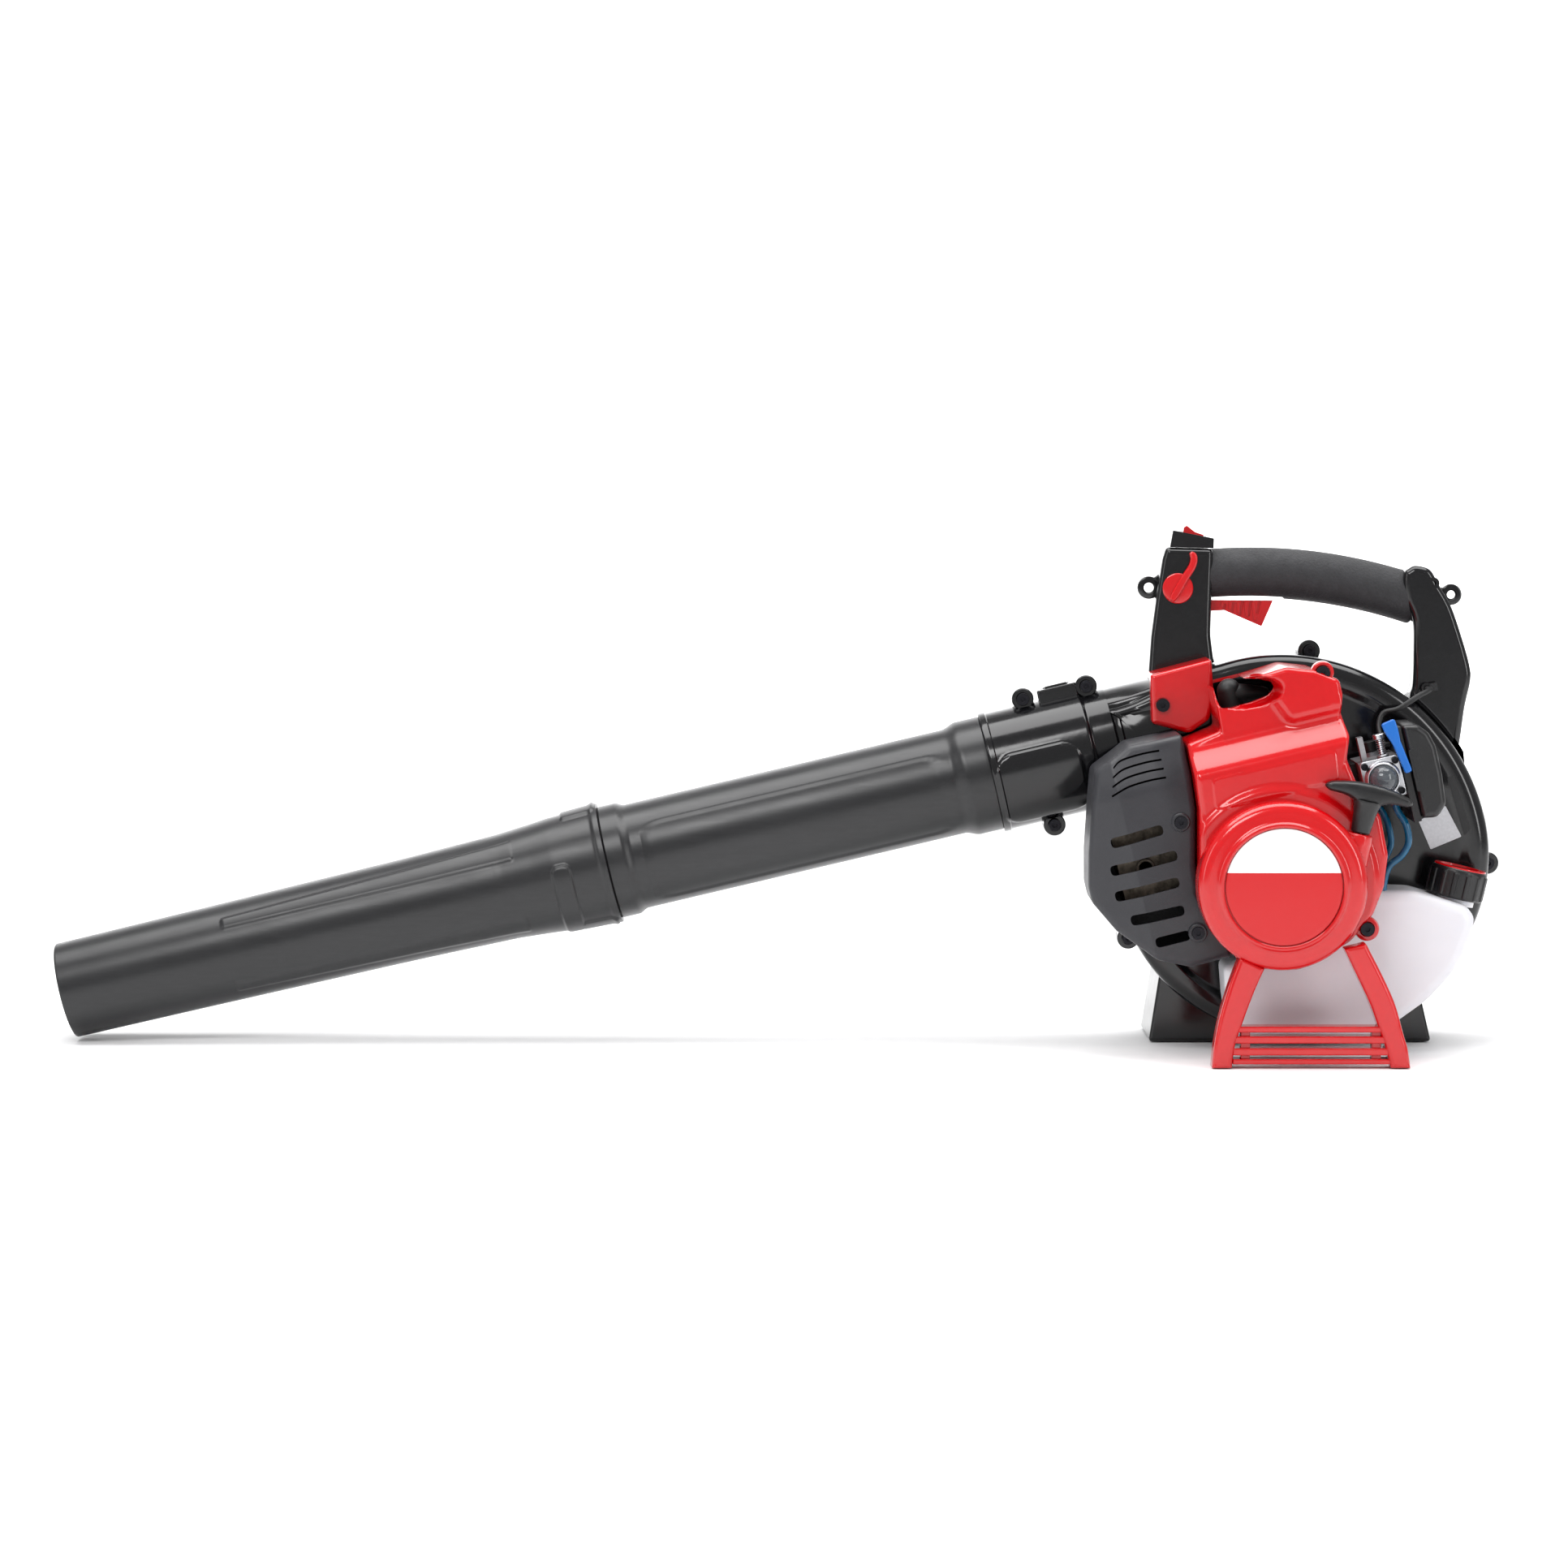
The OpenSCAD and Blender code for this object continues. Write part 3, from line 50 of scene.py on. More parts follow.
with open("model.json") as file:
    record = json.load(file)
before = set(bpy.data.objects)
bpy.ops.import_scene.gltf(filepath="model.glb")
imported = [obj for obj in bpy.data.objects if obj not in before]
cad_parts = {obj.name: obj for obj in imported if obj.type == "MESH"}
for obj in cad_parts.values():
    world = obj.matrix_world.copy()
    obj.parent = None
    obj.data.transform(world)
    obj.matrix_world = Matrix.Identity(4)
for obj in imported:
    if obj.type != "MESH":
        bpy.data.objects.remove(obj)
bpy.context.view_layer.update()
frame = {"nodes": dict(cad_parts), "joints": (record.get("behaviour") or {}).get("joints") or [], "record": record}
JOINTS = {j["name"]: j for j in frame["joints"]}
BODY_OF = {n: b for b, ns in frame["record"]["behaviour"]["bodies"].items() for n in ns}
SLOT_OF = {s["node"]: s["material_slot"] for s in frame["record"]["subparts"]}
ORIGIN = np.array(JOINTS["crank_spin"]["pos_m"])
ALONG = np.array(JOINTS["nozzle_twist"]["axis"])
UPWARD = np.array(JOINTS["piston_stroke"]["axis"])
ACROSS = np.array([0.0, 1.0, 0.0])
TUBE_H = 116.5  # height of the blow tube's axis over the crank axis, mm
TUBE_SIDES = 180  # faces round the blow tube
HALF = 46.0  # half the fan housing's depth, mm
ENG_Y = -75.0  # plane of the cylinder, tank neck and plug boot, mm


# ---- Frames and curves ----

def machine(p):
    """Metres in the row frame: origin + x ALONG + y ACROSS + z UPWARD, from millimetres."""
    p = np.asarray(p, float) / 1000
    return ORIGIN + p[..., :1] * ALONG + p[..., 1:2] * ACROSS + p[..., 2:] * UPWARD


def level(p):
    """Metres in the row frame of a point given in millimetres from the crank axis."""
    return ORIGIN + np.asarray(p, float) / 1000


def smooth(t, a, b):
    """0 below a, 1 above b, and the cubic 3s^2 - 2s^3 between them."""
    s = np.clip((np.asarray(t, float) - a) / (b - a), 0, 1)
    return s * s * (3 - 2 * s)


def spline(points, n, closed=False):
    """Points of a smooth curve through a route: the cubic whose slope at each point is half
    the step between that point's two neighbours, n steps to a span."""
    p = np.asarray(points, float)
    m = len(p)
    i = np.arange(m if closed else m - 1)
    pick = (lambda k: p[k % m]) if closed else (lambda k: p[np.clip(k, 0, m - 1)])
    a, b, c, d = (pick(i + k)[:, None] for k in (-1, 0, 1, 2))
    t = np.linspace(0, 1, n, endpoint=False)[None, :, None]
    q = 0.5 * (2 * b + (c - a) * t + (2 * a - 5 * b + 4 * c - d) * t ** 2
               + (3 * b - a - 3 * c + d) * t ** 3)
    q = q.reshape(-1, p.shape[1])
    return q if closed else np.vstack([q, p[-1:]])


def spaced(outline):
    """The outline without points nearer than 0.05 to the one before."""
    p = np.asarray(outline, float)
    return p[np.linalg.norm(p - np.roll(p, 1, 0), axis=1) > 0.05]


def rounded(points, radius, steps=6):
    """Closed outline with each corner turned into a curve that starts and ends
    radius x tan(half the turn) from the corner, but under half a side."""
    p = np.asarray(points, float)
    before, after = np.roll(p, 1, 0) - p, np.roll(p, -1, 0) - p
    lb, la = (np.linalg.norm(v, axis=1, keepdims=True) for v in (before, after))
    ub, ua = before / lb, after / la
    turn = math.pi - np.arccos(np.clip((ub * ua).sum(1, keepdims=True), -1, 1))
    r = np.broadcast_to(np.asarray(radius, float).reshape(-1, 1), (len(p), 1))
    cut = np.minimum(r * np.tan(turn / 2), 0.46 * np.minimum(lb, la))
    t = np.linspace(0, 1, steps)[None, :, None]
    a, b = (p + ub * cut)[:, None], (p + ua * cut)[:, None]
    return spaced((a * (1 - t) ** 2 + 2 * p[:, None] * t * (1 - t) + b * t ** 2).reshape(-1, 2))


def outward_2d(outline):
    """Unit-step directions out of a closed outline: the mean of the two sides' normals,
    lengthened so that a step along it moves both sides by one."""
    p = np.asarray(outline, float)
    e = np.roll(p, -1, 0) - p
    e = e / np.linalg.norm(e, axis=1, keepdims=True)
    n = np.stack([e[:, 1], -e[:, 0]], 1)
    x, z = p[:, 0], p[:, 1]
    if (x * np.roll(z, -1) - np.roll(x, -1) * z).sum() < 0:
        n = -n
    before = np.roll(n, 1, 0)
    b = n + before
    b = b / np.maximum(np.linalg.norm(b, axis=1, keepdims=True), 1e-9)
    return b / np.maximum((b * n).sum(1, keepdims=True), 0.5)


def evened(outline, n):
    """The closed outline at n points evenly spaced along it."""
    p = np.vstack([outline, outline[:1]])
    far = np.concatenate([[0], np.cumsum(np.linalg.norm(np.diff(p, axis=0), axis=1))])
    t = np.linspace(0, far[-1], n, endpoint=False)
    return np.stack([np.interp(t, far, p[:, i]) for i in (0, 1)], 1)


def along_rays(outline, centre):
    """Steps out of an outline along the rays from a centre that sees all of it, each long
    enough to move its side by one."""
    rel, n = outline - centre, outward_2d(outline)
    ray, n = (v / np.linalg.norm(v, axis=1, keepdims=True) for v in (rel, n))
    return ray / np.maximum((ray * n).sum(1, keepdims=True), 0.5)


def drawn_in(outline, depth):
    """The outline moved inwards by a depth; points between which it would cross itself meet."""
    p = np.asarray(outline, float)
    q = p - depth * outward_2d(p)
    course = np.roll(p, -1, 0) - p
    for _ in range(80):
        back = ((course * (np.roll(q, -1, 0) - q)).sum(1, keepdims=True) < 0) * 1.0
        share = back + np.roll(back, 1, 0)
        if not share.any():
            break
        mid = (q + np.roll(q, -1, 0)) / 2
        q = np.where(share > 0, (back * mid + np.roll(back * mid, 1, 0)) / np.maximum(share, 1), q)
    return q


# ---- Meshes ----

def quads(nu, nv, close_u=False, close_v=False):
    """Quads between neighbouring rows and columns of a grid; a closed way joins its ends."""
    u = np.arange(nu if close_u else nu - 1)[:, None]
    v = np.arange(nv if close_v else nv - 1)[None, :]
    u1, v1 = (u + 1) % nu, (v + 1) % nv
    return np.stack(np.broadcast_arrays(u * nv + v, u1 * nv + v, u1 * nv + v1, u * nv + v1),
                    -1).reshape(-1, 4)


def end_caps(rows, cols):
    """Two faces that close a grid's first and last rows."""
    return [list(range(cols)), list(range((rows - 1) * cols, rows * cols))]


def piece(name, points, faces, finish, body="root", sheet=0.0, sharp=32):
    """Puts points (metres) and faces into a mesh whose faces look outwards, gives a sheet its
    wall inwards, marks edges sharper than an angle, and rides the piece on a body."""
    mesh = bpy.data.meshes.new(name)
    mesh.from_pydata(np.asarray(points, float).reshape(-1, 3).tolist(), [],
                     [list(f) for f in faces])
    bm = bmesh.new()
    bm.from_mesh(mesh)
    bmesh.ops.remove_doubles(bm, verts=bm.verts, dist=8e-6)
    bmesh.ops.dissolve_degenerate(bm, edges=bm.edges, dist=2e-6)
    bmesh.ops.delete(bm, geom=[e for e in bm.edges if not e.link_faces], context="EDGES")
    bmesh.ops.recalc_face_normals(bm, faces=bm.faces)
    if sheet:
        middle = sum((v.co for v in bm.verts), Vector()) / len(bm.verts)
        if sum((f.calc_center_median() - middle).dot(f.normal) * f.calc_area()
               for f in bm.faces) < 0:
            bmesh.ops.reverse_faces(bm, faces=bm.faces)
    bm.to_mesh(mesh)
    bm.free()
    obj = bpy.data.objects.new(name, mesh)
    bpy.context.scene.collection.objects.link(obj)
    mesh.materials.append(finish)
    if sheet:
        m = obj.modifiers.new("wall", "SOLIDIFY")
        m.thickness, m.offset, m.use_even_offset = sheet / 1000, -1, False
        settle(obj)
    shade(obj, sharp)
    if body:
        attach(obj, body)
    return obj


def settle(obj):
    """Applies the modifiers of an object to its mesh."""
    graph = bpy.context.evaluated_depsgraph_get()
    graph.update()
    made = bpy.data.meshes.new_from_object(obj.evaluated_get(graph))
    old, obj.data = obj.data, made
    obj.modifiers.clear()
    made.name = old.name + "_made"


def shade(obj, sharp):
    """Smooth shading with edges above an angle kept sharp, and large faces kept flat."""
    obj.data.polygons.foreach_set("use_smooth", np.ones(len(obj.data.polygons), bool))
    obj.data.set_sharp_from_angle(angle=math.radians(sharp))
    w = obj.modifiers.new("flat_faces", "WEIGHTED_NORMAL")
    w.keep_sharp, w.weight = True, 60
    settle(obj)


def cut_out(obj, cutters, sharp=32):
    """Takes the cutters' volume out of a piece and removes the cutters."""
    for c in cutters:
        m = obj.modifiers.new("cut", "BOOLEAN")
        m.operation, m.object, m.solver = "DIFFERENCE", c, "MANIFOLD"
    settle(obj)
    for c in cutters:
        bpy.data.objects.remove(c)
    shade(obj, sharp)
    return obj


def plate(name, outline, y0, y1, r0, r1, finish, body="root", place=machine, steps=5):
    """Solid between two planes across the machine. Along the rim the outline is drawn in by
    r(1 - sin a) while the depth goes on by r(1 - cos a), a quarter circle at each plane."""
    a = np.radians(np.linspace(0, 90, steps + 1))
    drawn, on = 1 - np.sin(a), 1 - np.cos(a)
    near = np.stack([r0 * drawn, y0 + r0 * on], 1) if r0 else np.array([[0, y0]])
    far = np.stack([r1 * drawn, y1 - r1 * on], 1)[::-1] if r1 else np.array([[0, y1]])
    rim = np.vstack([near, far])
    p = np.asarray(outline, float)
    top, low = ((p - drawn_in(p, r)) / max(r, 1e-6) for r in (r0, r1))
    first = (np.arange(len(rim)) < len(near))[:, None, None]
    flat = p[None] - rim[:, :1, None] * np.where(first, top[None], low[None])
    pts = np.stack([flat[..., 0], np.broadcast_to(rim[:, 1:], flat.shape[:2]), flat[..., 1]], -1)
    rows, cols = pts.shape[:2]
    faces = quads(rows, cols, close_v=True).tolist() + end_caps(rows, cols)
    return piece(name, place(pts), faces, finish, body)


def turned(name, profile, centre, axis, finish, body="root", sides=72, ripple=None,
           place=machine, sharp=32):
    """Profile of (distance along the axis, radius) turned about the axis through centre:
    centre + d axis + r (cos t side + sin t other). ripple changes r by distance and angle."""
    prof = np.asarray(profile, float)
    axis = np.asarray(axis, float) / np.linalg.norm(axis)
    side = np.cross(axis, [0, 1, 0] if abs(axis[1]) < 0.9 else [1, 0, 0])
    side = side / np.linalg.norm(side)
    other = np.cross(axis, side)
    t = np.linspace(0, 2 * math.pi, sides, endpoint=False)
    d, r = prof[:, :1] + 0 * t, prof[:, 1:] + 0 * t
    if ripple:
        r = ripple(d, t[None] + 0 * d, r)
    pts = (np.asarray(centre, float) + d[..., None] * axis
           + r[..., None] * (np.cos(t)[None, :, None] * side + np.sin(t)[None, :, None] * other))
    faces = quads(len(prof), sides, close_u=True, close_v=True).tolist()
    return piece(name, place(pts), faces, finish, body, sharp=sharp)


def swept(name, route, radius, finish, body="root", sides=16, place=machine,
          lift=(0, 1, 0)):
    """Round bar along a route: at each point a ring of radius x (cos t side, sin t over),
    side being square to the course and to the lift direction."""
    p = np.asarray(route, float)
    step = np.gradient(p, axis=0)
    course = step / np.linalg.norm(step, axis=1, keepdims=True)
    side = np.cross(course, np.asarray(lift, float))
    side = side / np.linalg.norm(side, axis=1, keepdims=True)
    over = np.cross(course, side)
    t = np.linspace(0, 2 * math.pi, sides, endpoint=False)
    r = np.broadcast_to(np.asarray(radius, float).reshape(-1, 1, 1), (len(p), 1, 1))
    pts = p[:, None] + r * (np.cos(t)[None, :, None] * side[:, None]
                            + np.sin(t)[None, :, None] * over[:, None])
    faces = quads(len(p), sides, close_v=True).tolist() + end_caps(len(p), sides)
    return piece(name, place(pts), faces, finish, body, sharp=40)


def softened(node, width, finish):
    """A copy of a frame node with its doubled corners merged, its flat faces joined and its
    sharp edges rounded, standing for the node."""
    mesh = frame["nodes"][node].data.copy()
    bm = bmesh.new()
    bm.from_mesh(mesh)
    bmesh.ops.remove_doubles(bm, verts=bm.verts, dist=2e-6)
    bmesh.ops.dissolve_limit(bm, angle_limit=math.radians(0.8), verts=bm.verts, edges=bm.edges)
    bm.to_mesh(mesh)
    bm.free()
    obj = bpy.data.objects.new(node + "_moulded", mesh)
    bpy.context.scene.collection.objects.link(obj)
    mesh.materials.clear()
    mesh.materials.append(finish)
    b = obj.modifiers.new("edges", "BEVEL")
    b.width, b.segments, b.limit_method = width / 1000, 3, "ANGLE"
    b.angle_limit, b.use_clamp_overlap = math.radians(34), True
    settle(obj)
    shade(obj, 32)
    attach(obj, BODY_OF[node])
    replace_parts(obj, node)
    return obj


# ---- Finishes ----

def linear(code):
    """Linear colour of an sRGB hex value."""
    v = np.array([int(code[i:i + 2], 16) for i in (1, 3, 5)]) / 255
    v = np.where(v <= 0.04045, v / 12.92, ((v + 0.055) / 1.055) ** 2.4)
    return (*(float(x) for x in v), 1.0)


def add(tree, kind, inputs=None, **settings):
    """Adds a node, sets its properties, and fills or links its inputs."""
    made = tree.nodes.new("ShaderNode" + kind)
    for key, value in settings.items():
        setattr(made, key, value)
    for key, value in (inputs or {}).items():
        if isinstance(value, bpy.types.NodeSocket):
            tree.links.new(value, made.inputs[key])
        else:
            made.inputs[key].default_value = value
    return made


def per_mm(size):
    """Texture scale for a pattern whose features are this many millimetres wide."""
    return 1000.0 / size


def start(name):
    """A material with its shader, and the object's own coordinates."""
    found = bpy.data.materials.get(name)
    if found:
        return found, None, None, None
    mat = bpy.data.materials.new(name)
    mat.use_nodes = True
    tree = mat.node_tree
    tree.nodes.clear()
    shader = add(tree, "BsdfPrincipled")
    add(tree, "OutputMaterial", {"Surface": shader.outputs[0]})
    where = add(tree, "TexCoord").outputs["Object"]
    return mat, tree, shader, where


def moulded(name, colour, dull, grain_mm, depth_mm, mottle=0.06, dull_range=0.06, coat=0.0,
            sheen=0.0, swirl_mm=40.0, stretch=None, metal=0.0, fine=None):
    """Moulded, cast or rolled surface: a grain of a given size and depth, colour that drifts
    by a few percent over tens of millimetres, and rubbed patches in the roughness."""
    mat, tree, shader, where = start(name)
    if tree is None:
        return mat
    if stretch:
        where = add(tree, "Mapping", {"Vector": where, "Scale": stretch}).outputs[0]
    drift = add(tree, "TexNoise", {"Vector": where, "Scale": per_mm(swirl_mm), "Detail": 4.0})
    grain = add(tree, "TexNoise", {"Vector": where, "Scale": per_mm(grain_mm), "Detail": 3.0,
                                   "Roughness": 0.6})
    deep = tuple(c * (1 - 2.2 * mottle) for c in colour[:3]) + (1.0,)
    light = tuple(min(1.0, c * (1 + 1.6 * mottle) + 0.004 * mottle) for c in colour[:3]) + (1.0,)
    both = add(tree, "Math", {0: drift.outputs["Fac"], 1: grain.outputs["Fac"]}, operation="ADD")
    half = add(tree, "Math", {0: both.outputs[0], 1: 0.5}, operation="MULTIPLY")
    tone = add(tree, "MapRange", {"Value": half.outputs[0], "From Min": 0.36, "From Max": 0.64})
    mix = add(tree, "Mix", {"Factor": tone.outputs[0], "A": deep, "B": light}, data_type="RGBA")
    tree.links.new(mix.outputs["Result"], shader.inputs["Base Color"])
    scuff = add(tree, "TexNoise", {"Vector": where, "Scale": per_mm(11), "Detail": 6.0,
                                   "Roughness": 0.7, "Distortion": 0.6})
    rub = add(tree, "MapRange", {"Value": scuff.outputs["Fac"], "From Min": 0.3, "From Max": 0.75,
                                 "To Min": dull - dull_range / 2, "To Max": dull + dull_range})
    tree.links.new(rub.outputs[0], shader.inputs["Roughness"])
    height = grain.outputs["Fac"]
    if fine:
        cells = add(tree, "TexVoronoi", {"Vector": where, "Scale": per_mm(fine)},
                    feature="SMOOTH_F1")
        height = add(tree, "Math", {0: height, 1: cells.outputs["Distance"]},
                     operation="ADD").outputs[0]
    bump = add(tree, "Bump", {"Height": height, "Distance": depth_mm / 1000, "Strength": 1.0})
    tree.links.new(bump.outputs[0], shader.inputs["Normal"])
    shader.inputs["Metallic"].default_value = metal
    shader.inputs["Coat Weight"].default_value = coat
    shader.inputs["Coat Roughness"].default_value = 0.06
    shader.inputs["Sheen Weight"].default_value = sheen
    return mat


def finish(key):
    """The finish of that name, in the colours that the settings hold."""
    c = bpy.context.scene.blower_colours
    tone = lambda v: (*v, 1.0)
    made = {
        # Polished tool, so a clear reflection with a faint orange-peel ripple
        "black_abs": lambda: moulded("Glossy black ABS", tone(c.black), 0.13, 5.0, 0.012,
                                     0.05, 0.05),
        "red_abs": lambda: moulded("Glossy red ABS", tone(c.red), 0.15, 5.0, 0.012, 0.02, 0.05,
                                   coat=0.25),
        # Blown against a blasted tool: satin, with faint lines drawn out along the tube
        "black_tube": lambda: moulded("Satin black polypropylene", tone(c.tube), 0.32, 2.2, 0.02,
                                      0.10, 0.07, stretch=(0.12, 1.0, 1.0)),
        # Spark-eroded tool: an even fine grain that scatters light
        "grey_nylon": lambda: moulded("Textured grey nylon", tone(c.guard), 0.42, 0.9, 0.07,
                                      0.07, 0.08),
        "black_nylon": lambda: moulded("Moulded black nylon", tone(c.black), 0.36, 1.2, 0.05,
                                       0.08, 0.1),
        # Skinned foam: shallow pebbled skin with soft, dull reflections
        "foam": lambda: moulded("Skinned grip foam", tone(c.foam), 0.62, 0.9, 0.30, 0.16, 0.1,
                                sheen=0.12, swirl_mm=9, fine=1.8),
        "rubber": lambda: moulded("Moulded black rubber", tone(c.black), 0.5, 1.4, 0.04, 0.08, 0.1),
        "cast": lambda: moulded("Die-cast aluminium", linear("#A9AAAD"), 0.42, 1.1, 0.09, 0.10,
                                0.12, metal=1.0),
        "zinc": lambda: moulded("Zinc-plated steel", linear("#C9CACE"), 0.26, 3.0, 0.02, 0.06,
                                0.1, metal=1.0),
        "steel": lambda: moulded("Ground steel", linear("#A3A3A8"), 0.3, 0.8, 0.02, 0.08, 0.1,
                                 metal=1.0, stretch=(1.0, 0.15, 1.0)),
        "oxide": lambda: moulded("Black oxide steel", linear("#26262A"), 0.34, 0.8, 0.03, 0.1,
                                 0.1, metal=0.9),
        "hot_steel": lambda: moulded("Heat-stained steel", linear("#5E574E"), 0.5, 6.0, 0.05, 0.3,
                                     0.15, metal=1.0, swirl_mm=16),
        "blue": lambda: moulded("Blue acetal", tone(c.choke), 0.25, 3.0, 0.015, 0.03, 0.05),
        "ceramic": lambda: moulded("Glazed white ceramic", linear("#ECEAE3"), 0.12, 5.0, 0.01,
                                   0.02, 0.04),
        "natural": lambda: moulded("Natural nylon", linear("#D6D3C8"), 0.4, 1.5, 0.03, 0.05, 0.08),
        "felt": lambda: moulded("Felt", linear("#C9B98A"), 0.9, 0.7, 0.2, 0.2, 0.05, sheen=0.3),
        "filter": lambda: moulded("Open-cell foam", linear("#3C3C42"), 0.95, 1.2, 0.5, 0.3, 0.04,
                                  fine=1.6),
        "tank": tank_plastic,
        "line": fuel_tube,
        "bulb": bulb_plastic,
        "rope": braided_rope,
        "badge": badge_print,
        "label": lambda: moulded("Blank silver foil label", linear("#C4C5C9"), 0.3, 2.0, 0.02,
                                 0.05, 0.06, metal=0.4),
    }
    return made[key]()


def tank_plastic():
    """Blow-moulded polyethylene: milky, with light going a few millimetres into the wall."""
    mat, tree, shader, where = start("Milky polyethylene")
    if tree is None:
        return mat
    c = (*bpy.context.scene.blower_colours.tank, 1.0)
    cloud = add(tree, "TexNoise", {"Vector": where, "Scale": per_mm(38), "Detail": 3.0})
    deep = tuple(x * 0.88 for x in c[:3]) + (1.0,)
    mix = add(tree, "Mix", {"Factor": cloud.outputs["Fac"], "A": deep, "B": c}, data_type="RGBA")
    tree.links.new(mix.outputs["Result"], shader.inputs["Base Color"])
    ripple = add(tree, "TexNoise", {"Vector": where, "Scale": per_mm(7), "Detail": 2.0})
    bump = add(tree, "Bump", {"Height": ripple.outputs["Fac"], "Distance": 0.00005})
    tree.links.new(bump.outputs[0], shader.inputs["Normal"])
    rub = add(tree, "MapRange", {"Value": cloud.outputs["Fac"], "To Min": 0.26, "To Max": 0.42})
    tree.links.new(rub.outputs[0], shader.inputs["Roughness"])
    shader.inputs["Subsurface Weight"].default_value = 0.55
    shader.inputs["Subsurface Radius"].default_value = (0.006, 0.0055, 0.005)
    shader.inputs["Subsurface Scale"].default_value = 1.0
    return mat


def fuel_tube():
    """Clear urethane tube over fuel: a deep blue-green that lets some light through."""
    mat, tree, shader, where = start("Blue urethane tube")
    if tree is None:
        return mat
    c = (*bpy.context.scene.blower_colours.line, 1.0)
    wet = add(tree, "TexNoise", {"Vector": where, "Scale": per_mm(14), "Detail": 2.0})
    deep, light = (tuple(min(1, x * k) for x in c[:3]) + (1.0,) for k in (0.5, 1.5))
    mix = add(tree, "Mix", {"Factor": wet.outputs["Fac"], "A": deep, "B": light},
              data_type="RGBA")
    tree.links.new(mix.outputs["Result"], shader.inputs["Base Color"])
    shader.inputs["Roughness"].default_value = 0.14
    shader.inputs["Transmission Weight"].default_value = 0.25
    shader.inputs["IOR"].default_value = 1.49
    return mat


def bulb_plastic():
    """Smoked clear polyurethane bulb: dark inside, with a sharp glint on its skin."""
    mat, tree, shader, where = start("Smoked clear polyurethane")
    if tree is None:
        return mat
    haze = add(tree, "TexNoise", {"Vector": where, "Scale": per_mm(9), "Detail": 2.0})
    mix = add(tree, "Mix", {"Factor": haze.outputs["Fac"], "A": linear("#5E646B"),
                            "B": linear("#9AA1A8")}, data_type="RGBA")
    tree.links.new(mix.outputs["Result"], shader.inputs["Base Color"])
    shader.inputs["Roughness"].default_value = 0.06
    shader.inputs["Transmission Weight"].default_value = 0.7
    shader.inputs["IOR"].default_value = 1.5
    return mat


def braided_rope():
    """Braided nylon: two sets of strands crossing every 2 mm along the rope, with painted shade darkening the
    grooves between them.
    """
    mat, tree, shader, where = start("Braided nylon rope")
    if tree is None:
        return mat
    one = add(tree, "TexWave", {"Vector": where, "Scale": 150.0}, bands_direction="DIAGONAL")
    turn = add(tree, "Mapping", {"Vector": where, "Scale": (-1.0, 1.0, 1.0)})
    two = add(tree, "TexWave", {"Vector": turn.outputs[0], "Scale": 150.0}, bands_direction="DIAGONAL")
    top = add(tree, "Math", {0: one.outputs["Fac"], 1: two.outputs["Fac"]}, operation="MAXIMUM")
    # Painted shade: the grooves between strands, where the braid's height is lowest, get the darker colour; the
    # nylon itself is the light one
    mix = add(tree, "Mix", {"Factor": top.outputs[0], "A": linear("#8E8B80"), "B": linear("#F1EEE6")},
              data_type="RGBA")
    tree.links.new(mix.outputs["Result"], shader.inputs["Base Color"])
    bump = add(tree, "Bump", {"Height": top.outputs[0], "Distance": 0.0004})
    tree.links.new(bump.outputs[0], shader.inputs["Normal"])
    shader.inputs["Roughness"].default_value = 0.75
    shader.inputs["Sheen Weight"].default_value = 0.2
    return mat


def badge_print():
    """Printed polycarbonate disc: white above a level line 10.6 mm over the centre, red below."""
    mat, tree, shader, where = start("Printed polycarbonate badge")
    if tree is None:
        return mat
    c = bpy.context.scene.blower_colours
    split = (ORIGIN[0], ORIGIN[1], ORIGIN[2] + 0.0106)
    place = add(tree, "Mapping", {"Vector": where, "Location": tuple(-x for x in split)})
    height = add(tree, "VectorMath", {0: place.outputs[0], 1: (0.0, 0.0, 1.0)}, operation="DOT_PRODUCT")
    over = add(tree, "Math", {0: height.outputs["Value"], 1: 0.0}, operation="GREATER_THAN")
    mix = add(tree, "Mix", {"Factor": over.outputs[0], "A": (*c.red, 1.0), "B": linear("#F2F2F1")},
              data_type="RGBA")
    tree.links.new(mix.outputs["Result"], shader.inputs["Base Color"])
    ripple = add(tree, "TexNoise", {"Vector": where, "Scale": per_mm(6), "Detail": 2.0})
    bump = add(tree, "Bump", {"Height": ripple.outputs["Fac"], "Distance": 0.00001})
    tree.links.new(bump.outputs[0], shader.inputs["Normal"])
    rub = add(tree, "MapRange", {"Value": ripple.outputs["Fac"], "To Min": 0.14, "To Max": 0.24})
    tree.links.new(rub.outputs[0], shader.inputs["Roughness"])
    return mat


# ---- Settings ----

def colour(code, label, text):
    return bpy.props.FloatVectorProperty(name=label, description=text, subtype="COLOR", size=3,
                                         min=0.0, max=1.0, default=linear(code)[:3])


def millimetres(value, label, text, low, high):
    return bpy.props.FloatProperty(name=label, description=text, default=value, min=low, max=high,
                                   subtype="NONE", precision=2)


class BLOWER_PG_colours(bpy.types.PropertyGroup):
    """Colours of the visible plastics"""
    red: colour("#BC060D", "Red", "Covers, stand, trigger and levers")
    black: colour("#0D0D0F", "Black", "Housings, handle and small black parts")
    tube: colour("#19191B", "Tube", "Blow tube and nozzle")
    guard: colour("#25252A", "Guard", "Muffler guard")
    foam: colour("#19191D", "Foam", "Grip")
    tank: colour("#DADADF", "Tank", "Fuel tank")
    choke: colour("#0A62B8", "Choke", "Choke lever")
    line: colour("#0E5C82", "Fuel line", "Fuel lines")


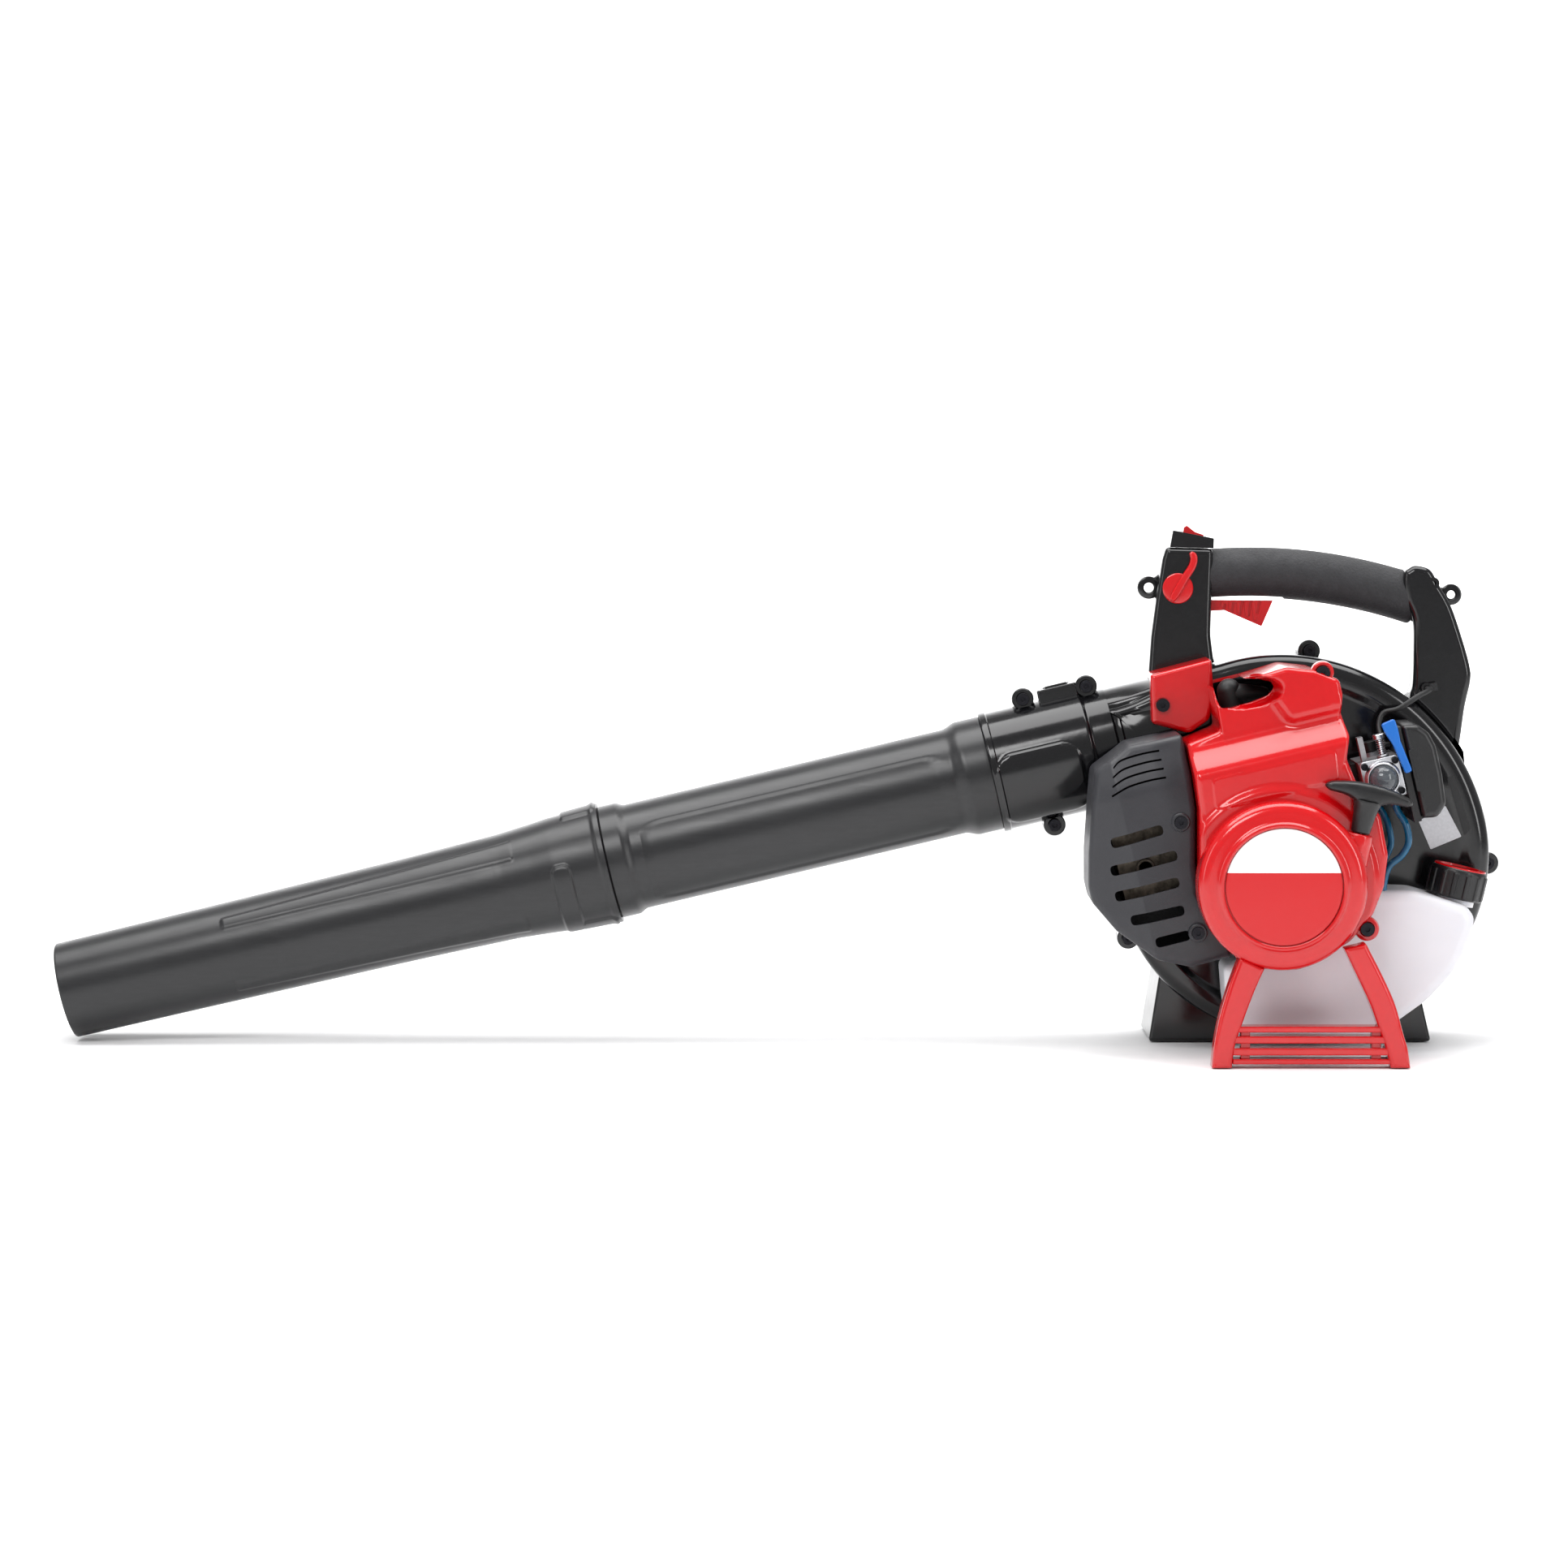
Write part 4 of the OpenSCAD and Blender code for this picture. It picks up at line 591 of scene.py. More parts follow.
class BLOWER_PG_sizes(bpy.types.PropertyGroup):
    """Sizes of the surface detail"""
    handle_edge: millimetres(5.0, "Handle edge (mm)", "Rounding of the handle's outer edges", 1, 8)
    rim_edge: millimetres(11.0, "Rim edge (mm)", "Rounding of the fan housing's rim", 3, 16)
    tank_edge: millimetres(9.0, "Tank edge (mm)", "Rounding of the tank's edges", 3, 14)
    rib_height: millimetres(0.9, "Tube panel height (mm)", "Step of the panels along the tube", 0, 2)
    cap_ribs: bpy.props.IntProperty(name="Cap ribs", description="Grip ribs round the fuel cap",
                                    default=14, min=6, max=30)


# ---- Outlines shared by pieces, in millimetres ----

SCROLL_SMALL, SCROLL_BIG, SCROLL_TOP = 112.0, 170.0, 160.0
GRIP = np.array([[11.0, 226.0], [83.5, 207.4], [156.0, 172.5]])


def scroll_r(deg):
    """Scroll radius: a cosine rise with the 1.8 power of the angle up to the rear, and a
    square-law fall from the rear to the top."""
    a = np.asarray(deg, float)
    back = np.clip((a + 220) / 220, 0, 1)
    rise = SCROLL_SMALL + (SCROLL_BIG - SCROLL_SMALL) * (1 - np.cos(np.pi * back ** 1.8)) / 2
    return np.where(a > 0, SCROLL_BIG - (SCROLL_BIG - SCROLL_TOP) * (np.maximum(a, 0) / 90) ** 2, rise)


def housing_outline(n=300):
    """Outline of the fan housing: the scroll by angle, then the duct's top, mouth and tongue."""
    a = np.linspace(-220, 88, 220)
    r = scroll_r(a)
    pts = np.vstack([np.stack([r * np.cos(np.radians(a)), r * np.sin(np.radians(a))], 1),
                     spline([[0, SCROLL_TOP], [-30, 160], [-60, 160], [-92, 160]], 10),
                     [[-92, 150], [-92, 130], [-92, 100], [-92, 80], [-91, 74]]])
    return evened(pts, n)


def three_point_arc(p):
    """Centre and radius of the circle through three points."""
    (ax, az), (bx, bz), (cx, cz) = p
    d = 2 * (ax * (bz - cz) + bx * (cz - az) + cx * (az - bz))
    a2, b2, c2 = ax * ax + az * az, bx * bx + bz * bz, cx * cx + cz * cz
    o = np.array([(a2 * (bz - cz) + b2 * (cz - az) + c2 * (az - bz)) / d,
                  (a2 * (cx - bx) + b2 * (ax - cx) + c2 * (bx - ax)) / d])
    return o, math.hypot(*(p[0] - o))


def grip_arc():
    """Centre and radius of the grip's arc, and the angles of its two ends."""
    o, r = three_point_arc(GRIP)
    return (o, r, *(math.atan2(*(GRIP[i] - o)[::-1]) for i in (0, 2)))


def round_box(x, s, x0, x1, s0, s1, r):
    """Signed distance from a rectangle with rounded corners: negative inside."""
    qx = np.abs(x - (x0 + x1) / 2) - (x1 - x0) / 2 + r
    qs = np.abs(s - (s0 + s1) / 2) - (s1 - s0) / 2 + r
    return np.hypot(np.maximum(qx, 0), np.maximum(qs, 0)) + np.minimum(np.maximum(qx, qs), 0) - r


# ---- Blow tube ----

def from_side(t):
    """Angle from the tube's side to the nearest of its two sides: positive upwards."""
    a = (t + math.pi) % (2 * math.pi) - math.pi
    return np.where(np.abs(a) > math.pi / 2, np.sign(a) * math.pi - a, a)


class BLOWER_OT_tube(bpy.types.Operator):
    """Upper tube and nozzle: turned profiles whose radius steps by the signed distance from
    rounded panels laid on the tube's surface"""
    bl_idname = "blower.tube"
    bl_label = "Blow tube"

    def execute(self, context):
        size = context.scene.blower_sizes
        skin = finish("black_tube")
        x = np.unique(np.concatenate([
            np.linspace(-521, -455, 100), np.linspace(-455, -215, 60), np.linspace(-215, -110, 90)]))
        r = 40.5 + 2.9 * smooth(-x, 463, 471) + 3.5 * smooth(x, -215, -203)
        r = r - (r - 42.6) * smooth(-x, 483.2, 484.0) - (r - 42.6) * smooth(x, -185.6, -185.0)
        inner = np.array([[-110, 40.4], [-190, 40.4], [-212, 38.5], [-460, 38.5], [-468, 40.4],
                          [-521, 40.4]])

        def panel(d, t, rad):
            s = from_side(t) * 40.5 + 4
            in_panel = 1 - smooth(round_box(d, s, -452, -222, -37, 31, 12), -1.6, 1.6)
            outer = rad > 40.45
            return rad - np.where(outer, size.rib_height * in_panel, 0)
        self.tube("upper_tube_skin", x, r, inner, panel, skin, "upper_tube", "root")
        x = np.unique(np.concatenate([
            np.linspace(-912, -905, 12), np.linspace(-905, -800, 30), np.linspace(-800, -770, 30),
            np.linspace(-770, -570, 60), np.linspace(-570, -484.4, 150)]))
        base = np.interp(x, [-912, -882, -780, -640, -564, -540, -524, -489.8, -489.4, -484.4],
                         [36.7, 36.9, 37.7, 39.0, 40.6, 42.4, 43.9, 45.2, 46.4, 46.4])
        kernel = np.array([0.25, 0.5, 0.25])
        for _ in range(6):
            base[1:-1] = np.convolve(base, kernel, "same")[1:-1]
        base = base - 0.5 * smooth(-x, 911.2, 912.0)
        inner = np.array([[-484.4, 43.0], [-524, 43.0], [-564, 38.9], [-780, 35.6], [-882, 34.7],
                          [-912, 34.9]])

        def ribs(d, t, rad):
            deg, s = from_side(t), from_side(t) * 45
            outer = rad > np.interp(d, [-912, -882, -564, -524, -484],
                                    [35.9, 36.0, 39.8, 43.45, 43.5])
            far = np.degrees(np.abs(deg))
            width = np.interp(d, [-785, -550], [5.5, 14.0])
            off = np.abs(far - np.interp(d, [-785, -550], [41, 45])) * 0.66 - width / 2
            past = np.abs(d + 667) - 112
            band = 1 - smooth(np.hypot(np.maximum(off, 0), np.maximum(past, 0)), 0.0, 3.0)
            front = np.cos(t) > 0
            hook = np.minimum(round_box(d, s, -527, -512, -62, 10, 6),
                              round_box(d, s, -516, -486, -62, -46, 5))
            boss = np.where(front, 1 - smooth(hook, -1.5, 1.0), 0)
            over = np.abs((t - math.pi / 2 + math.pi) % (2 * math.pi) - math.pi) * 45
            tab = 1 - smooth(round_box(d, over, -513, -486, -18, 18, 4), -1.5, 1.0)
            return rad + np.where(outer, size.rib_height * band + 1.7 * boss + 1.6 * tab, 0)
        self.tube("nozzle_skin", x, base, inner, ribs, skin, "nozzle", "nozzle")
        return {"FINISHED"}

    def tube(self, name, x, r, inner, ripple, skin, node, body):
        prof = np.vstack([np.stack([x, r], 1), inner])
        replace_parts(turned_along(name, prof, ripple, skin, body), node)


def turned_along(name, prof, ripple, skin, body):
    """Profile turned about the blow tube's axis, the angle running from the engine side
    upwards: x, y = -r cos t, z = tube height + r sin t."""
    t = np.linspace(0, 2 * math.pi, TUBE_SIDES, endpoint=False)
    d, r = prof[:, :1] + 0 * t, prof[:, 1:] + 0 * t
    r = ripple(d, t[None] + 0 * d, r)
    pts = np.stack([d, -r * np.cos(t)[None], TUBE_H + r * np.sin(t)[None]], -1)
    return piece(name, machine(pts), quads(len(prof), TUBE_SIDES, True, True).tolist(), skin,
                 body, sharp=36)


# ---- Fan housing ----

class BLOWER_OT_housing(bpy.types.Operator):
    """Fan housing halves: rings between the inlet and the scroll's outline, whose depth
    follows a quarter circle at the rim, with the duct's box drawn to a round by distance"""
    bl_idname = "blower.housing"
    bl_label = "Fan housing"

    def execute(self, context):
        size = context.scene.blower_sizes
        skin = finish("black_abs")
        outline = housing_outline(400)
        for side, node, hole in ((-1, "volute_front", 13.0), (1, "volute_back", 65.0)):
            obj = self.half(node + "_skin", outline, side, hole, size.rim_edge, skin)
            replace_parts(obj, node)
        lip = [[44, 65.0], [50.5, 65.0], [51.6, 64.6], [52, 63.6], [52, 61.4], [51.6, 60.4], [50.5, 60],
               [43.5, 60], [43.5, 64.8]]
        turned("inlet_lip", lip, [0, 0, 0], [0, 1, 0], skin, sides=128)
        for i, (lo, hi) in enumerate(((-18, -12), (12, 18))):
            edge = rounded([[60, 44.5], [79.5, 44.5], [79.5, 56], [75, 60.4], [69, 60.4], [62, 50]], 3)
            pts = np.stack([np.broadcast_to(np.array([lo, hi])[:, None], (2, len(edge))),
                            np.broadcast_to(edge[:, 1], (2, len(edge))),
                            np.broadcast_to(edge[:, 0], (2, len(edge)))], -1)
            faces = quads(2, len(edge), close_v=True).tolist() + end_caps(2, len(edge))
            piece(f"hinge_ear_{i + 1}", machine(pts), faces, skin)
        spots = [((float(scroll_r(v)) + 3) * math.cos(math.radians(v)),
                  (float(scroll_r(v)) + 3) * math.sin(math.radians(v))) for v in (65, -12.5, -165)]
        spots += [(-149, TUBE_H + 50.0), (-100, TUBE_H + 48.5), (-147, TUBE_H - 49.0)]
        for i, (bx, bz) in enumerate(spots):
            prof = [[-12, 5.2], [-12, 7.6], [-11.3, 8.3], [-10.4, 8.5], [-0.4, 8.5], [-0.2, 8.2],
                    [0, 8.2], [0.2, 8.2], [0.4, 8.5], [10.4, 8.5], [11.3, 8.3], [12, 7.4],
                    [12, 2.6], [-9, 2.6], [-9, 5.2]]
            turned(f"seam_boss_{i + 1}", prof, [bx, 0, bz], [0, 1, 0], skin,
                   sides=40)
        x = np.linspace(-185, -88, 100)
        r = 45.5 + 1.0 * smooth(-x, 179.2, 180.0) - 0.5 * smooth(-x, 184.3, 185.0)
        r = r - 2.4 * smooth(x, -107.5, -105.0)
        inner = np.array([[-88, 39.0], [-106.4, 39.0], [-106.5, 43.0], [-185, 43.0]])

        def ramp(d, t, rad):
            s = from_side(t) * 45.5
            lock = round_box(d, s, -182, -117, -48, 14, 14)
            outer = rad > 43.4
            return rad + np.where(outer, 1.5 * (1 - smooth(lock, -1.5, 1.0)), 0)
        turned_along("tube_socket", np.vstack([np.stack([x, r], 1), inner]), ramp, skin,
                     "root")
        block = rounded([[-137.5, 156], [-107, 156], [-107, 167], [-109, 170], [-135, 170], [-137.5, 167]], 2)
        for name, lo, hi in (("latch_cheek_front", -12, -7.3), ("latch_cheek_back", 7.3, 12)):
            plate(name, block, lo, hi, 1.2, 1.2, skin)
        for name, lo, hi in (("latch_end_front", -137.4, -131.2), ("latch_end_rear", -112.8, -107.1)):
            plate(name, rounded([[lo, 156], [hi, 156], [hi, 169.8], [lo, 169.8]], 1.4), -9, 9, 0.8, 0.8,
                  skin)
        foot = rounded([[-86.7, -133.8], [129, -133.8], [114, -70], [-77, -70]], [3, 3, 8, 8], 8)
        plate("housing_foot", foot, -20, 62, 2.6, 2.6, skin, place=level, steps=6)
        return {"FINISHED"}

    def half(self, name, outline, side, hole, edge, skin):
        ang = np.arctan2(outline[:, 1], outline[:, 0])
        ring = np.stack([np.cos(ang), np.sin(ang)], 1)
        n = along_rays(outline, 0)
        inner = outline - edge * n
        rows, depth = [], []
        for k in np.linspace(0, 1, 44):
            rows.append(hole * ring * (1 - k) + inner * k)
            depth.append(np.full(len(ang), HALF))
        for a in np.radians(np.linspace(8, 90, 11)):
            rows.append(outline - edge * (1 - math.sin(a)) * n)
            depth.append(np.full(len(ang), HALF - edge * (1 - math.cos(a))))
        for y in np.linspace(HALF - edge, 0.8, 14)[1:]:
            rows.append(outline)
            depth.append(np.full(len(ang), y))
        rows.append(outline - 0.5 * n)
        depth.append(np.full(len(ang), 0.15))
        xz, y = np.array(rows), np.array(depth)
        x, z = xz[..., 0], xz[..., 1]
        r = np.hypot(x, z)
        # A shallow ring-shaped step where the flat side meets the scroll's rim band
        limit = np.hypot(*outline.T)[None]
        y = y - 2.0 * smooth(limit - r, 17, 20) * smooth(r, 66, 72) * (y > HALF - 0.01)
        # The duct's box section goes round as it runs to the tube socket
        vy, vz = y / HALF, (z - TUBE_H) / 43.5
        far, size = np.maximum(np.abs(vy), np.abs(vz)), np.maximum(np.hypot(vy, vz), 1e-6)
        w = smooth(-x, 14, 84) * smooth(z, 66, 82)
        y = y * (1 - w) + w * vy * far / size * 42.6
        z = z * (1 - w) + w * (TUBE_H + vz * far / size * 42.6)
        pts = np.stack([x, side * y, z], -1)
        return piece(name, machine(pts), quads(len(rows), len(ang), close_v=True).tolist(), skin,
                     sheet=2.4, sharp=40)


# ---- Handle ----

class BLOWER_OT_handle(bpy.types.Operator):
    """Handle halves: smooth outlines carried across with quarter-circle edges"""
    bl_idname = "blower.handle"
    bl_label = "Handle"

    def execute(self, context):
        size = context.scene.blower_sizes
        skin, slot = finish("black_abs"), SLOT_OF["handle_left"]
        front = rounded([[-17.6, 253.8], [-22, 246.5], [-33.5, 218], [-43.5, 191.4], [-51.8, 164.3],
                         [-51.8, 160.5], [-1.2, 160.5], [-1.2, 165.8], [0.4, 181], [5.1, 199.2],
                         [17, 244.6]], [3, 20, 60, 60, 6, 1, 1, 20, 40, 60, 4], 8)
        rear = spline([[153, 192], [158.5, 196.2], [164.2, 196.6], [173.3, 191.4], [177.2, 179.5],
                       [182.7, 161.3], [185.5, 136.4], [186.6, 114.2], [184.8, 102.5], [176.2, 84],
                       [162, 50], [150, 52], [140, 70], [135.6, 92], [138, 103], [141.6, 110.4],
                       [147.4, 133.4], [152, 156.4], [150, 174]], 6, closed=True)
        r = np.hypot(*rear.T)
        deg = np.degrees(np.arctan2(rear[:, 1], rear[:, 0]))
        limit = scroll_r(deg) + 0.3
        rear = spaced(np.where((r < limit)[:, None], rear / r[:, None] * limit[:, None], rear))
        e = size.handle_edge
        for side, node in ((-1, "handle_left"), (1, "handle_right")):
            lo, hi, r0, r1 = (-20, 0, e, 0.5) if side < 0 else (0, 20, 0.5, e)
            obj = plate(node + "_front_post", front, lo, hi, r0, r1, skin, steps=7)
            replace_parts(obj, node)
            plate(node + "_rear_post", rear, lo, hi, r0, r1, skin, steps=7)
        for name, (cx, cz), hole, back in (("front_strap_eye", (-36.2, 226.5), 3.7, (-29.0, 226.5)),
                                           ("rear_strap_eye", (186.4, 168.4), 3.1, (179.0, 168.4))):
            o = hole + 5.0
            ring = [[-4, hole + 1], [-4, o - 1.5], [-3.5, o - 0.5], [-2.6, o], [2.6, o], [3.5, o - 0.5],
                    [4, o - 1.5], [4, hole + 1], [3.4, hole + 0.3], [2.6, hole], [-2.6, hole],
                    [-3.4, hole + 0.3]]
            turned(name, ring, [cx, 0, cz], [0, 1, 0], skin, sides=48)
            side = 1 if back[0] > cx else -1
            neck = [[cx + side * (hole + 1.5), cz + 6.5], [back[0] + side * 4, cz + 9],
                    [back[0] + side * 4, cz - 9], [cx + side * (hole + 1.5), cz - 6.5]]
            plate(name + "_neck", rounded(neck, 2), -3.6, 3.6, 1.2, 1.2, skin)
        softened("switch_panel", 1.6, finish("black_abs"))
        softened("stop_switch", 0.8, finish("red_abs"))
        softened("throttle_trigger", 0.6, finish("red_abs"))
        for i in range(5):
            x = 13.5 + 5.6 * i
            low, top = 199.5 - 0.74 * (x - 15.6), 203.5 - 0.25 * (x - 13.5)
            rib = [[x, low], [x + 2.0, low - 1.5], [x + 3.4, top - 0.4], [x + 1.4, top]]
            for side, (lo, hi) in enumerate(((-5.7, -4.7), (4.7, 5.7))):
                plate(f"trigger_rib_{side}_{i + 1}", rounded(rib, 0.6, 3), lo, hi, 0.3, 0.3,
                      finish("red_abs"), body="throttle_trigger",
                      steps=2)
        self.cruise()
        turned("handle_screw_seat", [[-20.3, 4.6], [-20.3, 2.0], [-17, 2.0], [-17, 4.6]], [173, 0, 181],
               [0, 1, 0], skin, sides=32)
        return {"FINISHED"}

    def cruise(self):
        """Disc with a domed face and a hooked arm that grows out of it"""
        red, slot, px, pz = finish("red_abs"), SLOT_OF["cruise_lever"], -16.2, 222.0
        disc = [[-20.4, 3.9], [-20.4, 10.8], [-20.7, 11.4], [-21.3, 11.6], [-23.2, 11.5], [-24.0, 10.9],
                [-24.3, 9.6], [-24.35, 5.0], [-24.35, 0.002], [-14.6, 0.002], [-14.6, 3.9]]
        obj = turned("cruise_disc", disc, [px, 0, pz], [0, 1, 0], red, body="cruise_lever", sides=64)
        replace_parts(obj, "cruise_lever")
        arm = spline([[-23, 214], [-17, 220.5], [-9, 229], [-2, 236], [0.6, 242], [-0.8, 246.4]], 6)
        t = np.linspace(0, 1, len(arm))
        half = 3.1 - 0.6 * t - 1.2 * smooth(t, 0.86, 1.0) - 1.2 * (1 - smooth(t, 0.0, 0.14))
        step = np.gradient(arm, axis=0)
        step /= np.linalg.norm(step, axis=1, keepdims=True)
        side = np.stack([-step[:, 1], step[:, 0]], 1) * half[:, None]
        edge = rounded(np.vstack([arm + side, (arm - side)[::-1]]), 1.6, 4)
        plate("cruise_arm", edge, -26.6, -21.0, 1.5, 0.6, red, body="cruise_lever")


class BLOWER_OT_grip(bpy.types.Operator):
    """Foam grip: a ring carried along the arc through three points, swelling by 3 percent in
    its middle, with a slot pressed up into its underside for the trigger"""
    bl_idname = "blower.grip"
    bl_label = "Foam grip"

    def execute(self, context):
        o, r, a0, a1 = grip_arc()
        u = np.linspace(0, 1, 150)
        a = (a0 + 0.012) * (1 - u) + (a1 - 0.012) * u
        k = np.linspace(0, 2 * math.pi, 160, endpoint=False)
        ends = np.minimum(u, 1 - u) * abs(a1 - a0) * r
        tube = 19.0 - 1.9 * (1 - np.sqrt(1 - (1 - np.clip(ends / 3.0, 0, 1)) ** 2))
        ring = tube[:, None] * (1 + 0.012 * np.sin(math.pi * u)[:, None] ** 2) + 0 * k
        rad = r + ring * np.cos(k)
        x = o[0] + rad * np.cos(a)[:, None]
        z = o[1] + rad * np.sin(a)[:, None]
        y = ring * np.sin(k)
        roof = np.interp(x, [-10, 0, 60, 70], [218, 217, 211, 209])
        mask = (1 - smooth(np.abs(y), 6.0, 7.0)) * (1 - smooth(x, 60, 61.5)) * (np.cos(k)[None] < 0)
        z = z + mask * np.maximum(roof - z, 0)
        pts = np.stack([x, y, z], -1)
        faces = quads(len(u), len(k), close_v=True).tolist() + end_caps(len(u), len(k))
        obj = piece("grip_foam_sleeve", machine(pts), faces, finish("foam"),
                    sharp=50)
        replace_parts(obj, "foam_grip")
        return {"FINISHED"}


# ---- Engine covers ----

# Outline of the shroud
SHROUD = [[-43.5, -47.7], [-54, -18], [-57.6, 0], [-55.2, 25], [-45.8, 65.8], [-43.6, 90], [-42.2, 114],
          [-16, 118], [-14, 151], [12, 151], [41, 153], [61, 146], [77, 135], [77, 124], [73, 111],
          [74, 94], [68, 78], [71, 60], [83, 31], [82, 2], [74, -20], [62, -38], [40, -54], [0, -66],
          [-30, -58]]


class BLOWER_OT_shroud(bpy.types.Operator):
    """Engine shroud: rings from the starter to the outline; the depth is a function of place
    (front plane, bend, raised block, dent round the plug boot) plus a quarter circle at the rim"""
    bl_idname = "blower.shroud"
    bl_label = "Engine shroud"

    def execute(self, context):
        red, slot = finish("red_abs"), SLOT_OF["engine_shroud"]
        corner = rounded(SHROUD, [6, 20, 20, 20, 20, 20, 3, 4, 5, 8, 8, 8, 6, 6, 8, 8, 10, 12, 12,
                                  14, 14, 14, 20, 20, 20], 8)
        edge = evened(corner, 480)
        t = np.arctan2(edge[:, 1], edge[:, 0])
        ring = 50 * np.stack([np.cos(t), np.sin(t)], 1)
        fillet = 4.5
        n = along_rays(edge, 0)
        rows, drop = [], []
        for k in np.linspace(0, 1, 74):
            rows.append(ring * (1 - k) + (edge - fillet * n) * k)
            drop.append(0.0)
        for a in np.radians(np.linspace(9, 90, 8)):
            rows.append(edge - fillet * (1 - math.sin(a)) * n)
            drop.append(fillet * (1 - math.cos(a)))
        xz = np.array(rows)
        x, z = xz[..., 0], xz[..., 1]
        y = self.depth(x, z) + np.array(drop)[:, None]
        wall = np.where(z[-1] > 14, -54.0, -114.0)
        blur = np.ones(9) / 9
        wall = np.convolve(np.concatenate([wall[-4:], wall, wall[:4]]), blur, "valid")
        rim = y[-1]
        for k in np.linspace(0.15, 1, 7):
            x, z = np.vstack([x, x[-1:]]), np.vstack([z, z[-1:]])
            y = np.vstack([y, (rim * (1 - k) + wall * k)[None]])
        pts = np.stack([x, y, z], -1)
        faces = quads(len(y), len(t), close_v=True).tolist()
        obj = piece("shroud_skin", machine(pts), faces, red, sheet=2.3, sharp=42)
        mouth = rounded([[-12.5, 134], [-13.5, 150], [-11.5, 158], [7, 158], [9, 151], [20, 148.5],
                         [29, 144], [30.5, 139], [24, 134.5], [10, 132.5], [-4, 132.2]], 4)
        cut_out(obj, [plate("cut_boot", mouth, -150, -56, 0, 0, red)], 42)
        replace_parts(obj, "engine_shroud")
        for i, (lx, lz) in enumerate(((54.6, -47.4), (-34.1, -49.2))):
            lobe = [[-140.2, 5.8], [-140.2, 7.6], [-139.6, 8.6], [-138.4, 9.1], [-128, 9.1], [-128, 2.4],
                    [-137, 2.4], [-138, 5.6]]
            turned(f"shroud_lobe_{i + 1}", lobe, [lx, 0, lz], [0, 1, 0], red, sides=48)
        dark = [[-139.4, 5.6], [-139.4, 4.6], [-138.2, 3.4], [-138.2, 0.002], [-134, 0.002],
                [-134, 5.6]]
        turned("cover_bolt", dark, [-49.6, 0, 20.6], [0, 1, 0], finish("oxide"),
               sides=36)
        seat = [[-121.5, 5.8], [-121.5, 7.4], [-120.6, 8.3], [-116, 8.6], [-116, 2.4],
                [-119.5, 2.4], [-119.8, 5.7]]
        turned("shroud_top_seat", seat, [66.4, 0, 142.8], [0, 1, 0], red, sides=40)
        bracket = rounded([[-53.5, 165.8], [-6.2, 166.8], [-10.9, 137.8], [-17.8, 122.9], [-35, 116],
                           [-60.6, 129.9]], [2.5, 2.5, 12, 8, 9, 4], 8)
        obj = plate("bracket_skin", bracket, -62, -46.3, 4.0, 0.6, red,
                    steps=6)
        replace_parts(obj, "handle_bracket")
        arm = rounded([[-53.5, 165.6], [-6.4, 166.6], [-7, 161], [-54.4, 161]], 1.5)
        plate("bracket_arm", arm, -47, -20.3, 0.6, 0.6, red)
        hole = [[-62.3, 6.6], [-62.3, 5.6], [-59.6, 5.6], [-59.6, 2.3], [-58, 2.3], [-58, 6.6]]
        turned("bracket_screw_seat", hole, [-49.7, 0, 141.8], [0, 1, 0], red,
               sides=40)
        return {"FINISHED"}

    def depth(self, x, z):
        """Front surface: y = front + bend(z) - block(x, z) - panel(x, z) + dent(x, z)"""
        y = -138.0 + 17.0 * smooth(z, 88, 113) + 0.03 * np.maximum(z - 110, 0)
        y = y - 2.0 * (1 - smooth(np.abs(z - 20), 70, 95))
        block = smooth(x + 0.45 * (z - 120), 27, 36) * smooth(z, 106, 118)
        y = y - 6.5 * block
        rect = round_box(x - 0.12 * (z - 76), z, -33, 60, 64, 87, 4)
        y = y - 0.7 * (1 - smooth(rect, -1.2, 0.6))
        flange = np.hypot(x, z)
        y = y - 3.0 * (1 - smooth(flange, 68, 74))
        q = np.hypot((x - 8) / 28, (z + 0.10 * (x - 8) - 141.5) / 12.5)
        w = 1 - smooth(q, 0.76, 1.0)
        return y * (1 - w) + w * -108.0


